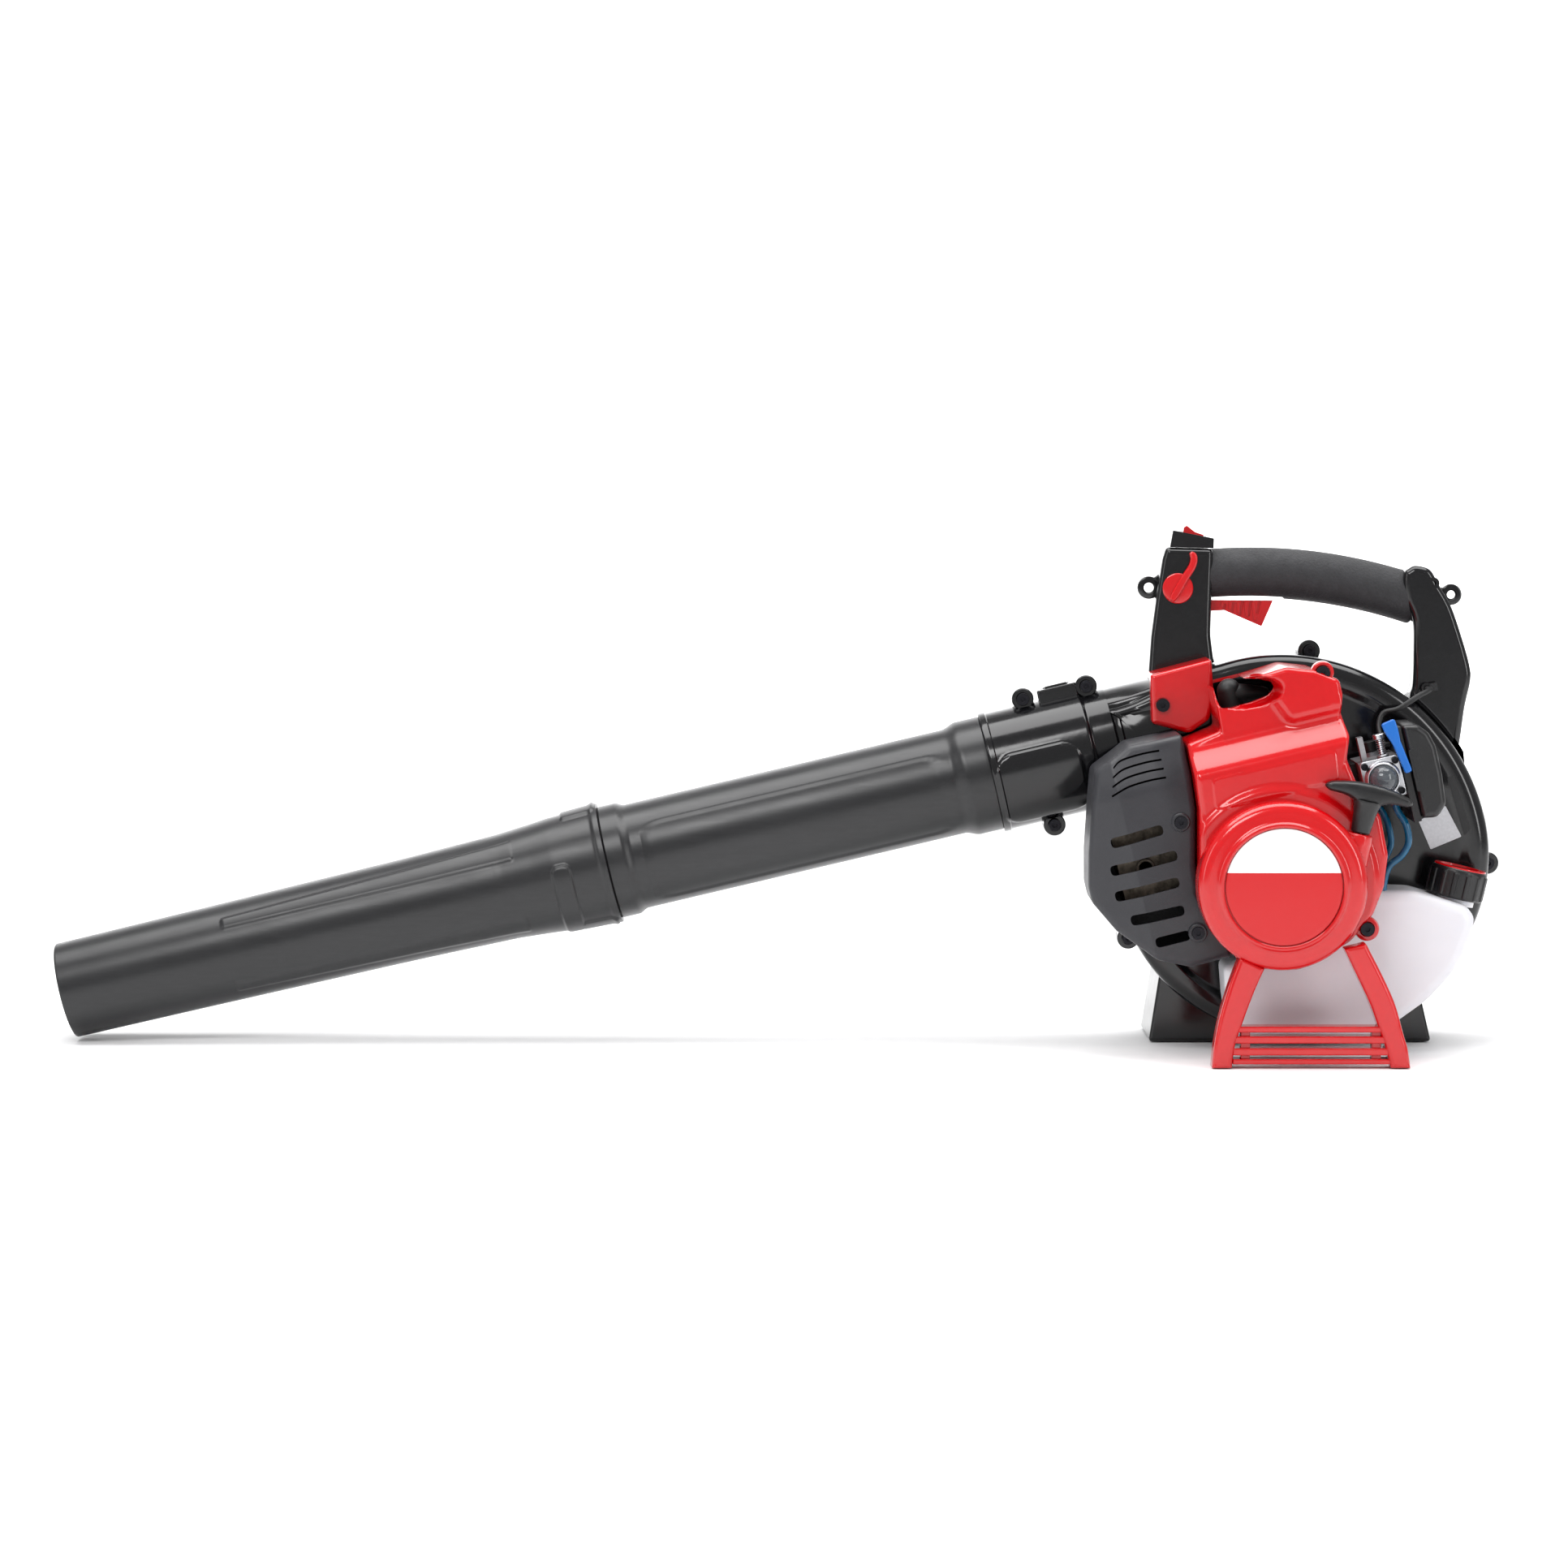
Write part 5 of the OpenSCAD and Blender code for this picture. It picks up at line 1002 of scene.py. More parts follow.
class BLOWER_OT_guard(bpy.types.Operator):
    """Muffler guard: rings from the middle to the outline, with a slanted outer facet, a lean
    at the top and a rounded rim, then slots and louvres cut through the wall"""
    bl_idname = "blower.guard"
    bl_label = "Muffler guard"

    def execute(self, context):
        skin = finish("grey_nylon")
        outline = [[-44.2, -47.7], [-54.6, -18], [-58.4, 0], [-56.2, 25], [-46.9, 65.8],
                   [-44.6, 90], [-43.6, 121], [-84, 122], [-94.5, 116.8], [-113, 108.7],
                   [-119, 90], [-131, 50], [-136.5, 26], [-136.5, 14], [-124, -10], [-99, -38],
                   [-76, -48.8]]
        edge = rounded(outline, [3, 20, 20, 20, 20, 20, 3, 6, 8, 8, 20, 30, 12, 12, 14, 14, 6], 8)
        mid = np.array([-86.0, 40.0])
        edge = evened(edge, 360)
        fillet = 5.0
        n = along_rays(edge, mid)
        rows, drop = [], []
        for k in np.linspace(0.02, 1, 46):
            rows.append(mid * (1 - k) + (edge - fillet * n) * k)
            drop.append(0.0)
        for a in np.radians(np.linspace(9, 90, 8)):
            rows.append(edge - fillet * (1 - math.sin(a)) * n)
            drop.append(fillet * (1 - math.cos(a)))
        xz = np.array(rows)
        x, z = xz[..., 0], xz[..., 1]
        y = self.depth(x, z) + np.array(drop)[:, None]
        rim = y[-1]
        for k in np.linspace(0.2, 1, 6):
            x, z = np.vstack([x, x[-1:]]), np.vstack([z, z[-1:]])
            y = np.vstack([y, (rim * (1 - k) - 51.0 * k)[None]])
        pts = np.stack([x, y, z], -1)
        faces = quads(len(y), len(edge), close_v=True).tolist() + [list(range(len(edge)))]
        obj = piece("guard_skin", machine(pts), faces, skin, sheet=2.4,
                    sharp=42)
        cutters = []
        for i, (x0, z0, x1, z1) in enumerate(((-113.4, 54.6, -74, 57.0), (-118.2, 34.4, -68, 36.0),
                                              (-119.2, 15.0, -71, 16.2), (-112, -4.6, -72, -5.0),
                                              (-98, -24.6, -72, -24.2))):
            d = np.array([x1 - x0, z1 - z0]) / math.hypot(x1 - x0, z1 - z0)
            s = np.array([-d[1], d[0]]) * 3.9
            a, b = np.array([x0, z0]) + 4 * d, np.array([x1, z1]) - 4 * d
            slot = rounded([a + s - 4 * d, b + s + 4 * d, b - s + 4 * d, a - s - 4 * d], 3.8, 8)
            cutters.append(self.cutter(f"slot_{i}", slot))
        for i in range(4):
            lift = 92.5 + 6.6 * i
            path = spline([[-105 + 2 * i, lift - 3.5], [-92, lift + 0.6], [-76, lift + 1.8],
                           [-63, lift + 1.2]], 6)
            slot = np.vstack([path + [0, 0.75], (path - [0, 0.75])[::-1]])
            cutters.append(self.cutter(f"louvre_{i}", slot))
        cut_out(obj, cutters, 42)
        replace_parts(obj, "muffler_guard")
        plate("guard_back", drawn_in(edge, 3.2), -53.4, -51.8, 0.3, 0.3, skin)
        seat = [[-123.6, 4.9], [-123.6, 6.2], [-122.6, 7.0], [-119.5, 7.2], [-119.5, 2.4],
                [-121.6, 2.4], [-121.8, 4.8]]
        for i, (sx, sz) in enumerate(((-60, 59), (-66, -24))):
            turned(f"guard_screw_seat_{i + 1}", seat, [sx, 0, sz], [0, 1, 0], skin,
                   sides=36)
        return {"FINISHED"}

    def cutter(self, name, outline):
        return plate("cut_" + name, outline, -140, -96, 0, 0, finish("grey_nylon"))

    def depth(self, x, z):
        """Front surface: y = front + slant of the outer facet + leans of the top, the foot and
        the upper corner beside the shroud"""
        facet = 0.42 * np.maximum(-x - 100, 0)
        foot = 0.10 * np.maximum(-z - 8, 0)
        corner = 3.2 * smooth(x, -70, -44) * smooth(z, 60, 96)
        return -121.6 + facet + 11.0 * smooth(z, 84, 124) + foot + corner


# ---- Starter ----

PULL_ANGLE = math.radians(64.1)  # from the machine's x up to the way the rope is pulled


def pull_place(p):
    """Metres in the row frame of a point in millimetres from the rope's exit: x along the
    T-handle's bar, y across, z along the pull."""
    p = np.asarray(p, float)
    c, s = math.cos(PULL_ANGLE), math.sin(PULL_ANGLE)
    return machine(np.stack([64.2 + p[..., 0] * s + p[..., 2] * c, -148.0 + p[..., 1],
                             23.6 - p[..., 0] * c + p[..., 2] * s], -1))


class BLOWER_OT_starter(bpy.types.Operator):
    """Recoil starter: turned drum and badge, a T-handle whose bar is a ring of changing height
    and width, and the rope"""
    bl_idname = "blower.starter"
    bl_label = "Recoil starter"

    def execute(self, context):
        red, slot = finish("red_abs"), SLOT_OF["starter_housing"]
        curve = [[-165 + 8 * (1 - math.cos(a)), 54 + 8 * math.sin(a)]
                 for a in np.radians(np.linspace(0, 90, 9))]
        drum = [[-164.6, 43.3], [-166.9, 43.6], [-167.6, 44.2], [-167.9, 45.2], [-167.6, 46.4],
                [-166.4, 47.4], [-165.4, 48.6], [-165.1, 50.5], *curve, [-138, 62.0],
                [-134, 62.0], [-134, 59.6], [-156, 59.6], [-162.4, 54], [-162.4, 43.3]]
        obj = turned("starter_drum", drum, [0, 0, 0], [0, 1, 0], red, sides=160)
        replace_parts(obj, "starter_housing")
        back = [[-162.6, 0.6], [-162.6, 43.6], [-164.5, 43.6], [-164.5, 0.6]]
        turned("starter_web", back, [0, 0, 0], [0, 1, 0], red, sides=96)
        face = [[-166.9 + 0.35 * (k / 42.2) ** 2, k] for k in np.linspace(0.002, 42.2, 18)]
        badge = [[-164.6, 0.002], *face, [-166.3, 42.6], [-165.9, 42.9], [-164.6, 42.9]]
        obj = turned("badge_disc_print", badge, [0, 0, 0], [0, 1, 0], finish("badge"),
                     sides=160)
        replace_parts(obj, "badge_disc")
        guide = [[-22, 5.3], [-22, 10.6], [-8, 10.2], [-1.4, 9.6], [-0.5, 9.1], [0, 8.2], [0, 5.3]]
        turned("rope_guide", guide, [64.2, -148, 23.6],
               [math.cos(PULL_ANGLE), 0, math.sin(PULL_ANGLE)], red, sides=64)
        softened("rope_eyelet", 0.4, finish("zinc"))
        self.t_handle()
        self.rope()
        return {"FINISHED"}

    def rope(self):
        """Straight rope from the pulley's rim to the exit and on into the handle, the part outside the exit laid
        out along the handle's pull."""
        inside = machine([[22.8 + 41.4 * k, -148, -21.9 + 45.5 * k] for k in np.linspace(0, 1, 12)])
        outside = pull_place([[0, 0, 31.5 * k] for k in np.linspace(0, 1, 40)[1:]])
        route = (np.vstack([inside, outside]) - ORIGIN) * 1000
        obj = swept("starter_rope_braid", route, 1.4, finish("rope"),
                    body=None, place=level)
        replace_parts(obj, "starter_rope")
        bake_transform(obj)

    def t_handle(self):
        skin, slot = finish("black_nylon"), SLOT_OF["starter_handle"]
        k = np.linspace(0, 2 * math.pi, 48, endpoint=False)
        u = np.concatenate([-33 + 4 * (1 - np.cos(np.linspace(0, math.pi / 2, 8))), np.linspace(-28, 28, 45),
                            33 - 4 * (1 - np.cos(np.linspace(math.pi / 2, 0, 8)))])
        end = np.clip((33.0 - np.abs(u)) / 4.5, 0.0, 1)
        full = np.sqrt(np.clip(1 - (1 - end) ** 2, 0.01, 1))
        top = np.interp(np.abs(u), [0, 10, 20, 28, 33], [37.4, 37.0, 35.6, 33.6, 31.8])
        low = np.interp(np.abs(u), [0, 8, 11, 15, 20, 28, 33],
                        [20.0, 21.5, 23.6, 25.2, 26.0, 26.2, 27.2])
        mid, high = (top + low) / 2, (top - low) / 2 * full
        wide = (7.4 - 1.4 * smooth(np.abs(u), 14, 33)) * full
        # Rounded-square rings: the 0.72 power of the cosine and sine
        cs, sn = (np.sign(f) * np.abs(f) ** 0.72 for f in (np.cos(k), np.sin(k)))
        pts = np.stack([u[:, None] + 0 * k, wide[:, None] * cs, mid[:, None] + high[:, None] * sn], -1)
        faces = quads(len(u), len(k), close_v=True).tolist() + end_caps(len(u), len(k))
        bar = piece("pull_handle_bar", pull_place(pts), faces, skin, body="starter_handle",
                    sharp=50)
        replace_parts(bar, "starter_handle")
        stem = [[0.5, 1.9], [0.5, 6.4], [1.4, 7.1], [14, 8.3], [20, 9.4], [23.5, 10.6],
                [24.5, 10.4], [24.5, 1.9]]
        turned("pull_handle_stem", stem, [0, 0, 0], [0, 0, 1], skin, body="starter_handle", sides=48,
               place=pull_place)


class BLOWER_OT_stand(bpy.types.Operator):
    """Front stand: two bowed legs and their crossbars, with quarter-circle edges"""
    bl_idname = "blower.stand"
    bl_label = "Front stand"

    def execute(self, context):
        red, slot = finish("red_abs"), SLOT_OF["front_stand"]
        legs = {
            "stand_leg_front": ([[-31.3, -52], [-38.4, -71], [-45.4, -95], [-49.6, -117], [-51.2, -134]],
                                [[-36.5, -134], [-34.2, -117], [-29.5, -102.5], [-21, -79], [-13, -60.5]]),
            "stand_leg_rear": ([[45, -46], [55.4, -67.7], [64.3, -86.6], [70.2, -102.7], [75.4, -117],
                                [79.9, -134]],
                               [[94.4, -134], [92.4, -120], [88.9, -108.5], [83.1, -88],
                                [74.2, -67.7], [61, -42]])}
        for name, (a, b) in legs.items():
            line = np.vstack([spline(a, 8), spline(b, 8)])
            edge = rounded(line, 1.6, 3)
            obj = plate(name, edge, -162, -144, 3.6, 1.2, red, place=level, steps=6)
            if name == "stand_leg_front":
                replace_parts(obj, "front_stand")
        for i, (z0, z1) in enumerate(((-107.6, -103.2), (-115.8, -110.4), (-124.6, -119.2),
                                      (-131.2, -127.2))):
            bar = rounded([[-36, z0], [80, z0], [80, z1], [-36, z1]], 0.8)
            plate(f"stand_bar_{i + 1}", bar, -160.4, -146, 1.4, 0.8, red, place=level)
        for i, x in enumerate((-30, 66)):
            plate(f"stand_tie_{i + 1}", rounded([[x, -128], [x + 7, -128], [x + 7, -106], [x, -106]], 0.8),
                  -157, -148, 0.8, 0.8, red, place=level)
        return {"FINISHED"}


# ---- Fuel and carburettor ----


class BLOWER_OT_fuel(bpy.types.Operator):
    """Fuel tank, cap and lines: an outline pushed out of the crankcase's circle with rounded
    edges, a turned cap whose radius ripples with angle, and tubes on smooth routes"""
    bl_idname = "blower.fuel"
    bl_label = "Fuel system"

    def execute(self, context):
        size = context.scene.blower_sizes
        side = [[-38, -66], [-36, -90], [-33, -108], [-26, -118], [20, -118.6], [76, -118],
                [96, -104], [114, -91], [129, -75], [139, -61], [147, -40], [148.5, -29],
                [143, -21], [117, -13], [103, -9], [80, -8.4], [60, -9]]
        edge = rounded(side, [6, 30, 14, 10, 60, 20, 60, 60, 60, 60, 16, 8, 10, 60, 30, 20, 4], 8)
        fine = evened(edge, 220)
        r = np.hypot(*fine.T)
        fine = evened(np.where((r < 41)[:, None], fine / r[:, None] * 41, fine), 220)
        obj = plate("tank_shell", fine, -109, -53, size.tank_edge, size.tank_edge, finish("tank"),
                    place=level, steps=8)
        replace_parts(obj, "fuel_tank")
        lean = math.radians(13)
        axis, seat = [math.sin(lean), 0, math.cos(lean)], [136, ENG_Y, -18]
        ribs = size.cap_ribs

        def grip(d, t, rad):
            wave = smooth(np.cos(ribs * t), 0.1, 0.75)
            body = (rad > 19.6) & (d < 20.5) & (d > 2.4)
            return rad + np.where(body, 1.1 * wave, 0)
        cap = [[1.5, 17.2], [1.5, 20.3], [2.3, 20.9], [3.0, 21.0], [8, 21], [14, 21], [19.6, 21],
               [20.4, 20.8], [21.2, 20.9], [22.6, 20.6], [23.6, 19.8], [24, 18.6], [24, 16.2],
               [23.2, 15.6], [22.6, 14.8], [22.6, 0.002], [19.5, 0.002], [19.5, 17.2]]
        obj = turned("cap_shell", cap, seat, axis, finish("black_nylon"),
                     body="fuel_cap", sides=196, ripple=grip, place=level, sharp=40)
        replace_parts(obj, "fuel_cap")
        neck = [[-3, 12], [-3, 16.0], [6, 16.0], [6, 12]]
        turned("tank_neck", neck, seat, axis, finish("tank"), sides=64, place=level)
        ring = [[23.4, 19.4], [24.2, 19.6], [24.9, 19.2], [24.9, 15.2], [23.4, 15.0]]
        turned("cap_ring", ring, seat, axis, finish("red_abs"), body="fuel_cap",
               sides=96, place=level)
        self.lines()
        return {"FINISHED"}

    def lines(self):
        """Two lines from the tank's top to the carburettor, as in the frame"""
        c, s = ALONG[0], ALONG[2]
        foot = lambda dx: ((78 + dx) * c - 39 * s, (78 + dx) * s + 39 * c)
        runs = {
            "fuel_line_supply": [(81, -101, -18), (81, -101, -4), (85, -101, 9), (94, -101, 17),
                                 (99, -101, 27), (97, -101, 40), (90, -100, 52),
                                 (foot(22)[0], -100, foot(22)[1])],
            "fuel_line_return": [(76, -89, -30), (76, -89, -4), (83, -88, 12), (88, -86, 26), (84, -83, 44),
                                 (foot(8)[0], -83, foot(8)[1])]}
        for name, route in runs.items():
            line = spline(np.array(route, float), 8)
            rad = 2.6 if name.endswith("supply") else 2.4
            obj = swept(name, line, rad, finish("line"), sides=24, place=level)
            if name.endswith("supply"):
                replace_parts(obj, "fuel_lines")
            end = line[-1] - line[-2]
            end = end / np.linalg.norm(end)
            turned(name + "_clip", [[-6, rad + 0.1], [-6, rad + 0.9], [-4, rad + 0.9], [-4, rad + 0.1]],
                   line[-1], end, finish("zinc"), sides=32, place=level)


class BLOWER_OT_carburettor(bpy.types.Operator):
    """Carburettor side: pump plate, dome bulb, idle screw with its spring, choke and covers"""
    bl_idname = "blower.carburettor"
    bl_label = "Carburettor"

    def execute(self, context):
        zinc, slot = finish("zinc"), SLOT_OF["pump_cover"]
        cx, cz = 93.0, 55.5
        square = rounded([[cx - 15, cz - 15], [cx + 15, cz - 15], [cx + 15, cz + 15],
                          [cx - 15, cz + 15]], 3.5, 8)
        obj = plate("pump_plate", square, -115, -112.1, 0.7, 0.2, zinc)
        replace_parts(obj, "pump_cover")
        rim = [[-114.9, 10.9], [-119.0, 10.9], [-119.8, 11.1], [-119.9, 11.7], [-119.4, 12.3], [-117, 12.6],
               [-115.6, 13.0], [-114.9, 13.6]]
        turned("bulb_rim", rim, [cx, 0, cz], [0, 1, 0], zinc, sides=64)
        dome = [[-119.2, 0.002], [-119.2, 10.5]] + [
            [-118.2 - 10.5 * math.sin(a), max(10.5 * math.cos(a), 0.002)]
            for a in np.radians(np.linspace(6, 90, 14))]
        obj = turned("bulb_dome", dome, [cx, 0, cz], [0, 1, 0], finish("bulb"),
                     body="primer_bulb", sides=64)
        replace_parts(obj, "primer_bulb")
        softened("carburettor", 0.7, finish("cast"))
        softened("intake_manifold", 0.7, finish("black_nylon"))
        softened("air_box", 1.0, finish("black_nylon"))
        softened("throttle_lever", 0.5, finish("black_nylon"))
        line = [[114.8, 20], [126.5, 18], [134.5, 26], [136.5, 48], [136.5, 70], [133.5, 81],
                [126.5, 89], [114.8, 91]]
        obj = plate("air_cover", rounded(line, [3, 8, 8, 20, 20, 10, 8, 3], 8), -117, -57, 5.0, 5.0,
                    finish("black_nylon"), steps=6)
        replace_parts(obj, "air_cleaner_cover")
        window = rounded([[115.5, 40], [123, 40], [123, 72], [115.5, 72]], 2)
        plate("air_cover_snap", window, -117.15, -115.5, 0.1, 0.1, finish("black_nylon"))
        bar = rounded([[117.5, 47], [121, 47], [121, 65], [117.5, 65]], 0.8)
        plate("air_cover_snap_bar", bar, -117.3, -116.0, 0.1, 0.1, finish("black_nylon"))
        self.choke()
        self.idle_screw()
        return {"FINISHED"}

    def choke(self):
        blue, slot = finish("blue"), SLOT_OF["choke_lever"]
        pivot = np.array([111.5, 60.0])
        tip = pivot + 32 * np.array([math.cos(math.radians(100)), math.sin(math.radians(100))])
        way = (tip - pivot) / 32
        side = np.array([-way[1], way[0]])
        arm = [pivot - 4 * way + 2.8 * side, pivot - 4 * way - 2.8 * side, pivot + 20 * way - 3.2 * side,
               tip - 5 * side - 3 * way, tip - 5.5 * side + 5 * way, tip + 5.5 * side + 5 * way,
               tip + 5 * side - 3 * way, pivot + 20 * way + 3.2 * side]
        obj = plate("choke_blade", rounded(arm, 2.2, 6), -121, -117.4, 1.2, 0.6, blue,
                    body="choke_lever")
        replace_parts(obj, "choke_lever")
        turned("choke_shaft", [[-118, 0.002], [-118, 2.0], [-106, 2.0], [-106, 0.002]],
               [pivot[0], 0, pivot[1]], [0, 1, 0], blue, body="choke_lever", sides=32)

    def idle_screw(self):
        """Screw through a spring on top of the carburettor: a helix of 7 turns, 11 mm high"""
        zinc, slot = finish("zinc"), SLOT_OF["pump_cover"]
        head = [[69, 0.3], [69, 1.6], [84, 1.6], [84, 4.2], [84.5, 4.6], [87.2, 4.6], [87.8, 4.0],
                [87.8, 0.9], [86.6, 0.9], [86.6, 0.3]]
        x, y = 97.5, -107.0
        turned("idle_screw", head, [x, y, 0], [0, 0, 1], zinc, sides=36)
        a = np.linspace(0, 2 * math.pi * 7, 160)
        coil = np.stack([x + 2.9 * np.cos(a), y + 2.9 * np.sin(a), 72.5 + 11.0 * a / a[-1]], -1)
        swept("idle_spring", coil, 0.45, zinc, sides=8, lift=(0, 0, 1))
        turned("idle_post", [[69, 0.4], [69, 4.6], [71.6, 4.6], [72.2, 4.0], [72.2, 0.4]],
               [x, y, 0], [0, 0, 1], finish("cast"), sides=36)


class BLOWER_OT_electrics(bpy.types.Operator):
    """Plug boot, plug lead and throttle cable"""
    bl_idname = "blower.electrics"
    bl_label = "Plug boot and cables"

    def execute(self, context):
        rubber = finish("rubber")
        dome = [[142 + 9 * math.sin(a), max(9 * math.cos(a), 0.002)]
                for a in np.radians(np.linspace(8, 90, 10))]
        boot = [[114, 4.8], [114, 8.2], [115, 9.0], [117, 9.0], [117.6, 8.4], [119, 8.4],
                [119.6, 9.0], [122, 9.0], [136, 9.2], [142, 9.0], *dome, [140, 0.002], [138, 4.8]]
        obj = turned("plug_boot_dome", boot, [0, ENG_Y, 0], [0, 0, 1], rubber,
                     sides=56)
        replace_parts(obj, "plug_boot")
        elbow = spline([[3, ENG_Y, 138], [10, ENG_Y, 137], [18, ENG_Y, 135.4], [27.5, ENG_Y, 132.6]], 8)
        rad = np.interp(np.linspace(0, 1, len(elbow)), [0, 0.3, 0.95, 1], [8.6, 7.8, 5.2, 4.4])
        swept("plug_boot_elbow", elbow, rad, rubber, sides=40)
        lead = spline(np.array([[26.3, ENG_Y, 132.3], [33, -76, 130], [40, -85, 120], [41, -101, 102],
                                [34, -113, 84], [18, -120, 90], [10, -121, 79]], float), 8)
        obj = swept("plug_lead_tube", lead, 3.0, rubber, sides=24)
        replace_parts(obj, "plug_lead")
        self.cable()
        return {"FINISHED"}

    def cable(self):
        """Throttle cable: along the grip's arc, down the rear post, out and to the carburettor"""
        o, r, a0, a1 = grip_arc()
        arc = [[o[0] + r * math.cos(a), 0, o[1] + r * math.sin(a)] for a in np.linspace(a0, a1, 10)]
        down = [[168, 0, 154], [168, 0, 130], [156, -2, 113], [150, -12, 105], [150, -28, 105],
                [150, -42, 105], [138, -54, 103], [122.5, -57, 98], [110.5, -55, 97],
                [104.5, -59, 88], [104.5, -70, 75.5]]
        line = spline(np.array(arc + down, float), 6)
        obj = swept("throttle_cable_tube", line, 2.0, finish("rubber"),
                    lift=(0.3, 1, 0.2))
        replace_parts(obj, "throttle_cable")


class BLOWER_OT_labels(bpy.types.Operator):
    """Blank labels on the fan housing"""
    bl_idname = "blower.labels"
    bl_label = "Blank labels"

    def execute(self, context):
        foil, slot = finish("label"), SLOT_OF["badge_disc"]
        plate("label_foil", rounded([[119.7, 10.3], [141.9, 17.0], [148.7, -8.6], [123.8, -12.8]], 1.0),
              -44.5, -43.7, 0.1, 0, foil, steps=2)
        plate("label_dark", rounded([[147.5, 36.9], [153, 39], [156.6, -4.2], [150.6, -8.5]], 1.0),
              -46.2, -45.6, 0.1, 0, finish("black_nylon"), steps=2)
        return {"FINISHED"}


class BLOWER_OT_frame_parts(bpy.types.Operator):
    """The frame's own parts: the ones that show get rounded edges, the hidden ones a finish"""
    bl_idname = "blower.frame_parts"
    bl_label = "Frame parts"

    def execute(self, context):
        rounded_parts = {"tube_latch": (0.8, "black_abs"), "housing_screws": (0.4, "oxide"),
                         "cover_screws": (0.4, "oxide"), "inlet_door": (0.8, "black_abs"),
                         "cable_tie": (0.5, "black_nylon"), "muffler": (1.6, "hot_steel"),
                         "impeller": (0.5, "black_nylon"), "impeller_nut": (0.4, "zinc")}
        for node, (width, key) in rounded_parts.items():
            softened(node, width, finish(key))
        plain = {"grip_foam": "foam", "cast_aluminium": "cast", "machined_steel": "steel",
                 "seal_rubber": "rubber", "black_nylon": "black_nylon", "black_gloss_abs": "black_abs",
                 "red_gloss_abs": "red_abs", "ceramic_white": "ceramic", "rope_nylon": "rope",
                 "zinc_plate": "zinc", "black_oxide_steel": "oxide", "muffler_steel": "hot_steel",
                 "tank_polyethylene": "tank", "filter_foam": "filter", "felt_bronze": "felt",
                 "pulley_nylon": "natural", "fuel_line_blue": "line", "choke_blue": "blue",
                 "bulb_polyurethane": "bulb", "badge_print": "badge", "grey_nylon": "grey_nylon",
                 "black_blow_moulded": "black_tube"}
        for node, obj in frame["nodes"].items():
            obj.data.materials.clear()
            obj.data.materials.append(finish(plain[SLOT_OF[node]]))
        return {"FINISHED"}


# ---- Studio ----

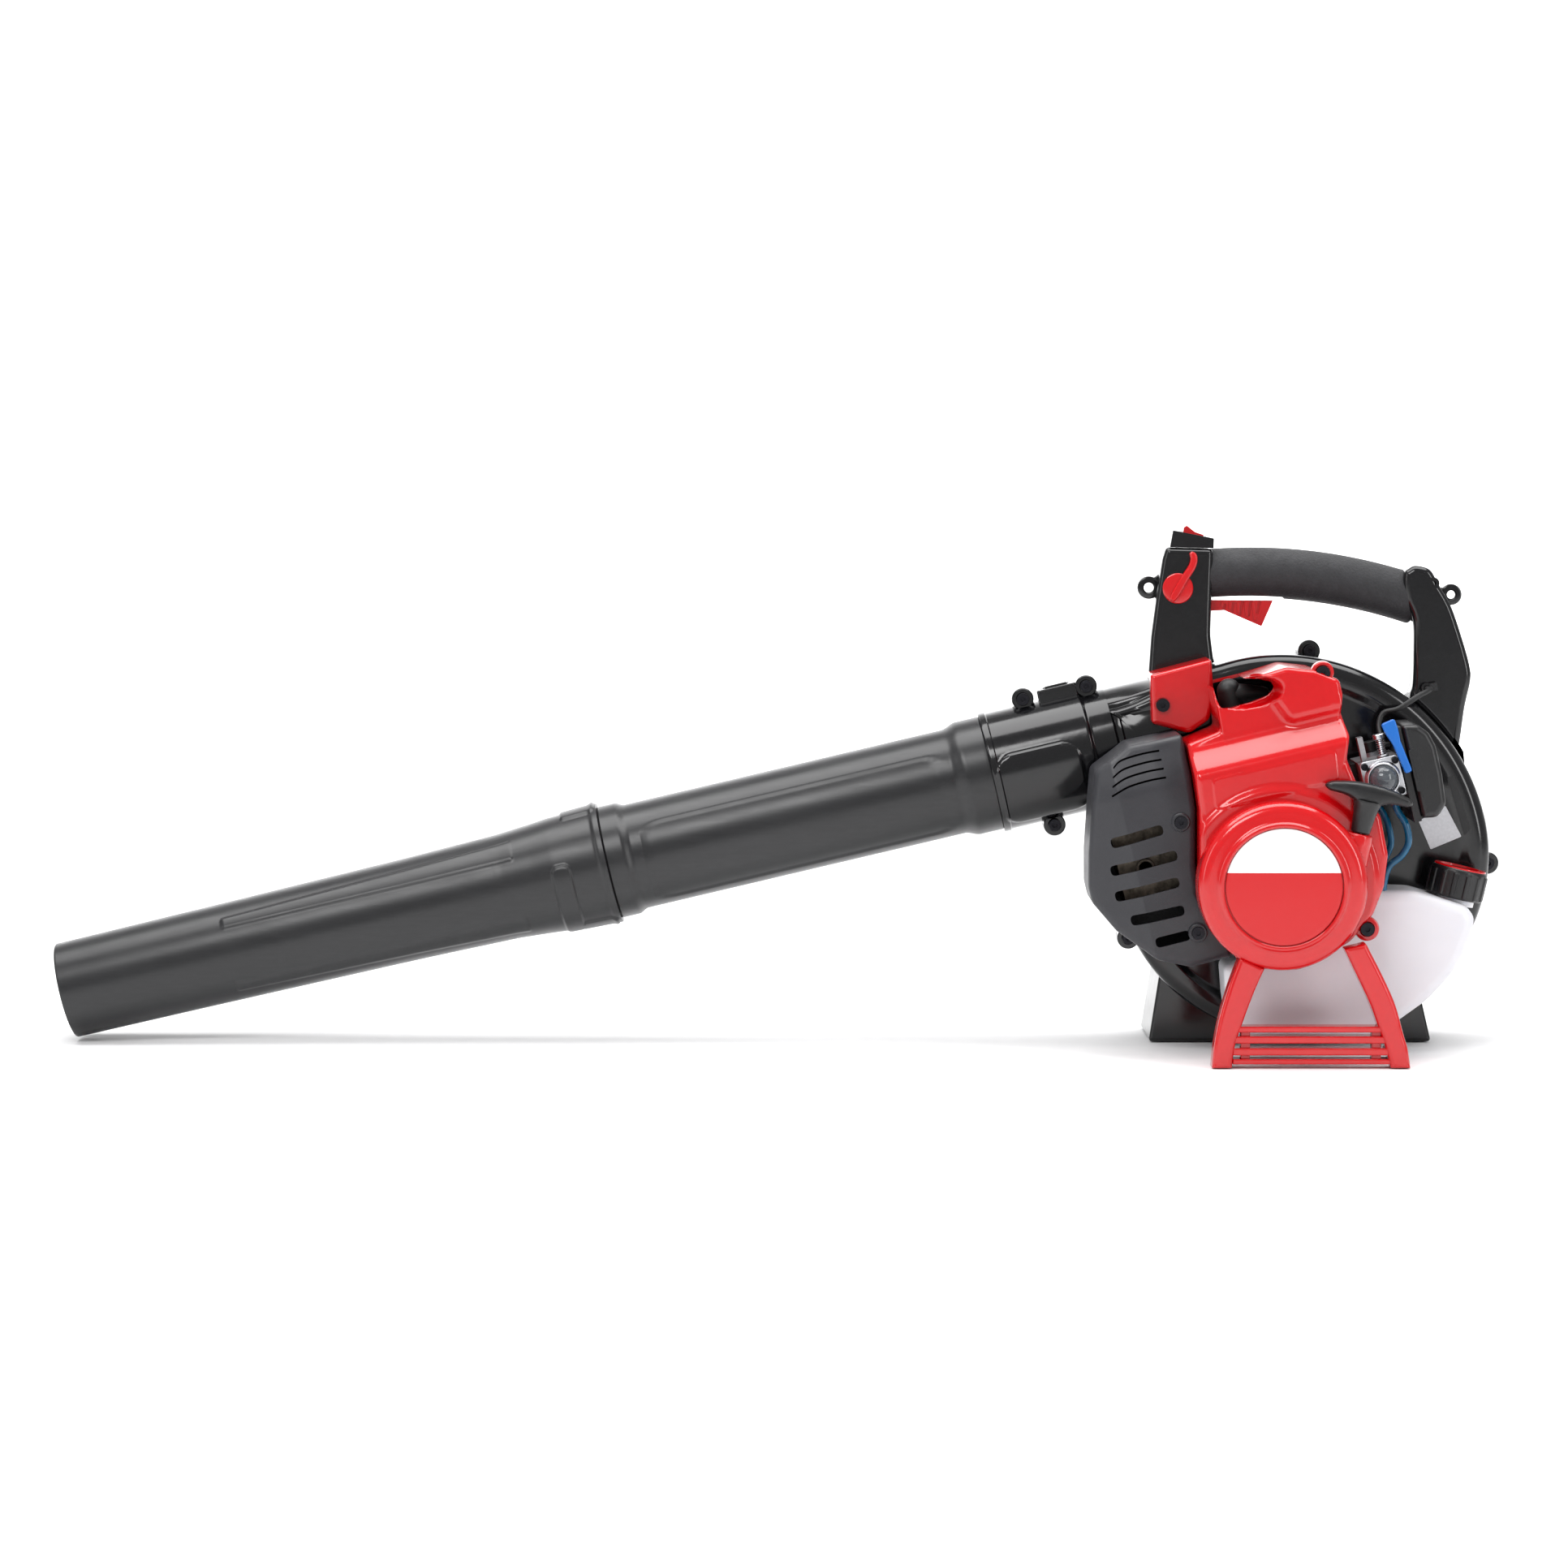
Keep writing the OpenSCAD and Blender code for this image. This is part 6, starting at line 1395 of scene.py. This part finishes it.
class BLOWER_OT_stage(bpy.types.Operator):
    """Pale floor that curves up behind, soft boxes and the camera"""
    bl_idname = "blower.stage"
    bl_label = "Studio"

    def execute(self, context):
        self.floor()
        world = bpy.data.worlds.new("studio")
        world.use_nodes = True
        world.node_tree.nodes["Background"].inputs[0].default_value = linear("#FFFFFF")
        world.node_tree.nodes["Background"].inputs[1].default_value = 0.45
        bpy.context.scene.world = world
        bpy.context.scene.view_settings.view_transform = "Standard"
        self.light("key_box", (-0.7, -1.9, 1.9), (0.1, 0, 0.15), 1.3, 0.8, 30)
        self.light("top_box", (0.0, 0.1, 2.6), (0.0, 0, 0), 3.6, 1.6, 95)
        self.light("left_strip", (-2.3, -1.0, 0.9), (-0.1, 0, 0.2), 0.4, 1.6, 8)
        self.light("right_strip", (2.0, -1.3, 0.9), (0.3, 0, 0.2), 0.4, 1.6, 14)
        self.light("wall_box", (0.0, 2.6, 2.2), (0.0, 5.5, 1.2), 5.0, 2.5, 260)
        cam = bpy.data.cameras.new("camera")
        cam.sensor_width, cam.lens, cam.clip_start, cam.clip_end = 36.0, 106.4, 0.05, 60.0
        obj = bpy.data.objects.new("camera", cam)
        bpy.context.scene.collection.objects.link(obj)
        target, up, far = Vector((0.0065, 0.053, 0.196)), math.radians(4.7), 3.54
        obj.location = target + far * Vector((0, -math.cos(up), math.sin(up)))
        obj.rotation_euler = (target - obj.location).to_track_quat("-Z", "Y").to_euler()
        bpy.context.scene.camera = obj
        return {"FINISHED"}

    def floor(self):
        """A profile carried sideways: flat, then a quarter circle of 1.5 m, then upright"""
        a = np.radians(np.linspace(0, 90, 25))
        y = np.concatenate([[-9.0, 4.0], 4.0 + 1.5 * np.sin(a), [5.5]])
        z = np.concatenate([[0.0, 0.0], 1.5 * (1 - np.cos(a)), [7.0]]) - 0.0006
        x = np.array([-9.0, 9.0])
        pts = np.stack(np.broadcast_arrays(x[:, None], y[None], z[None]), -1)
        mesh = bpy.data.meshes.new("floor")
        mesh.from_pydata(pts.reshape(-1, 3).tolist(), [], quads(2, len(y)).tolist())
        mesh.polygons.foreach_set("use_smooth", np.ones(len(mesh.polygons), bool))
        obj = bpy.data.objects.new("floor", mesh)
        bpy.context.scene.collection.objects.link(obj)
        mat = bpy.data.materials.new("Matt white paper")
        mat.use_nodes = True
        tree = mat.node_tree
        shader = tree.nodes["Principled BSDF"]
        where = add(tree, "TexCoord").outputs["Object"]
        grain = add(tree, "TexNoise", {"Vector": where, "Scale": 60.0, "Detail": 3.0})
        mix = add(tree, "Mix", {"Factor": grain.outputs["Fac"], "A": linear("#F3F3F4"),
                                "B": linear("#FAFAFA")}, data_type="RGBA")
        tree.links.new(mix.outputs["Result"], shader.inputs["Base Color"])
        shader.inputs["Roughness"].default_value = 0.95
        mesh.materials.append(mat)

    def light(self, name, place, target, wide, high, watts):
        data = bpy.data.lights.new(name, "AREA")
        data.shape, data.size, data.size_y, data.energy = "RECTANGLE", wide, high, watts
        obj = bpy.data.objects.new(name, data)
        bpy.context.scene.collection.objects.link(obj)
        obj.location = place
        obj.rotation_euler = (Vector(target) - Vector(place)).to_track_quat("-Z", "Y").to_euler()


OPERATORS = (BLOWER_OT_stage, BLOWER_OT_tube, BLOWER_OT_housing, BLOWER_OT_handle, BLOWER_OT_grip,
             BLOWER_OT_shroud, BLOWER_OT_guard, BLOWER_OT_starter, BLOWER_OT_stand, BLOWER_OT_fuel,
             BLOWER_OT_carburettor, BLOWER_OT_electrics, BLOWER_OT_labels, BLOWER_OT_frame_parts)


class BLOWER_PT_panel(bpy.types.Panel):
    """Lists the settings and the pieces"""
    bl_idname = "BLOWER_PT_panel"
    bl_label = "Leaf Blower"
    bl_space_type = "VIEW_3D"
    bl_region_type = "UI"
    bl_category = "Blower"

    def draw(self, context):
        for group in (context.scene.blower_sizes, context.scene.blower_colours):
            for name in group.__annotations__:
                self.layout.prop(group, name)
        for op in OPERATORS:
            self.layout.operator(op.bl_idname)


CLASSES = (BLOWER_PG_colours, BLOWER_PG_sizes, *OPERATORS, BLOWER_PT_panel)


def register():
    for c in CLASSES:
        bpy.utils.register_class(c)
    bpy.types.Scene.blower_colours = bpy.props.PointerProperty(type=BLOWER_PG_colours)
    bpy.types.Scene.blower_sizes = bpy.props.PointerProperty(type=BLOWER_PG_sizes)


def unregister():
    del bpy.types.Scene.blower_sizes
    del bpy.types.Scene.blower_colours
    for c in reversed(CLASSES):
        bpy.utils.unregister_class(c)


def main():
    register()
    for op in OPERATORS:
        group, name = op.bl_idname.split(".")
        getattr(getattr(bpy.ops, group), name)()


if __name__ == "__main__":
    main()
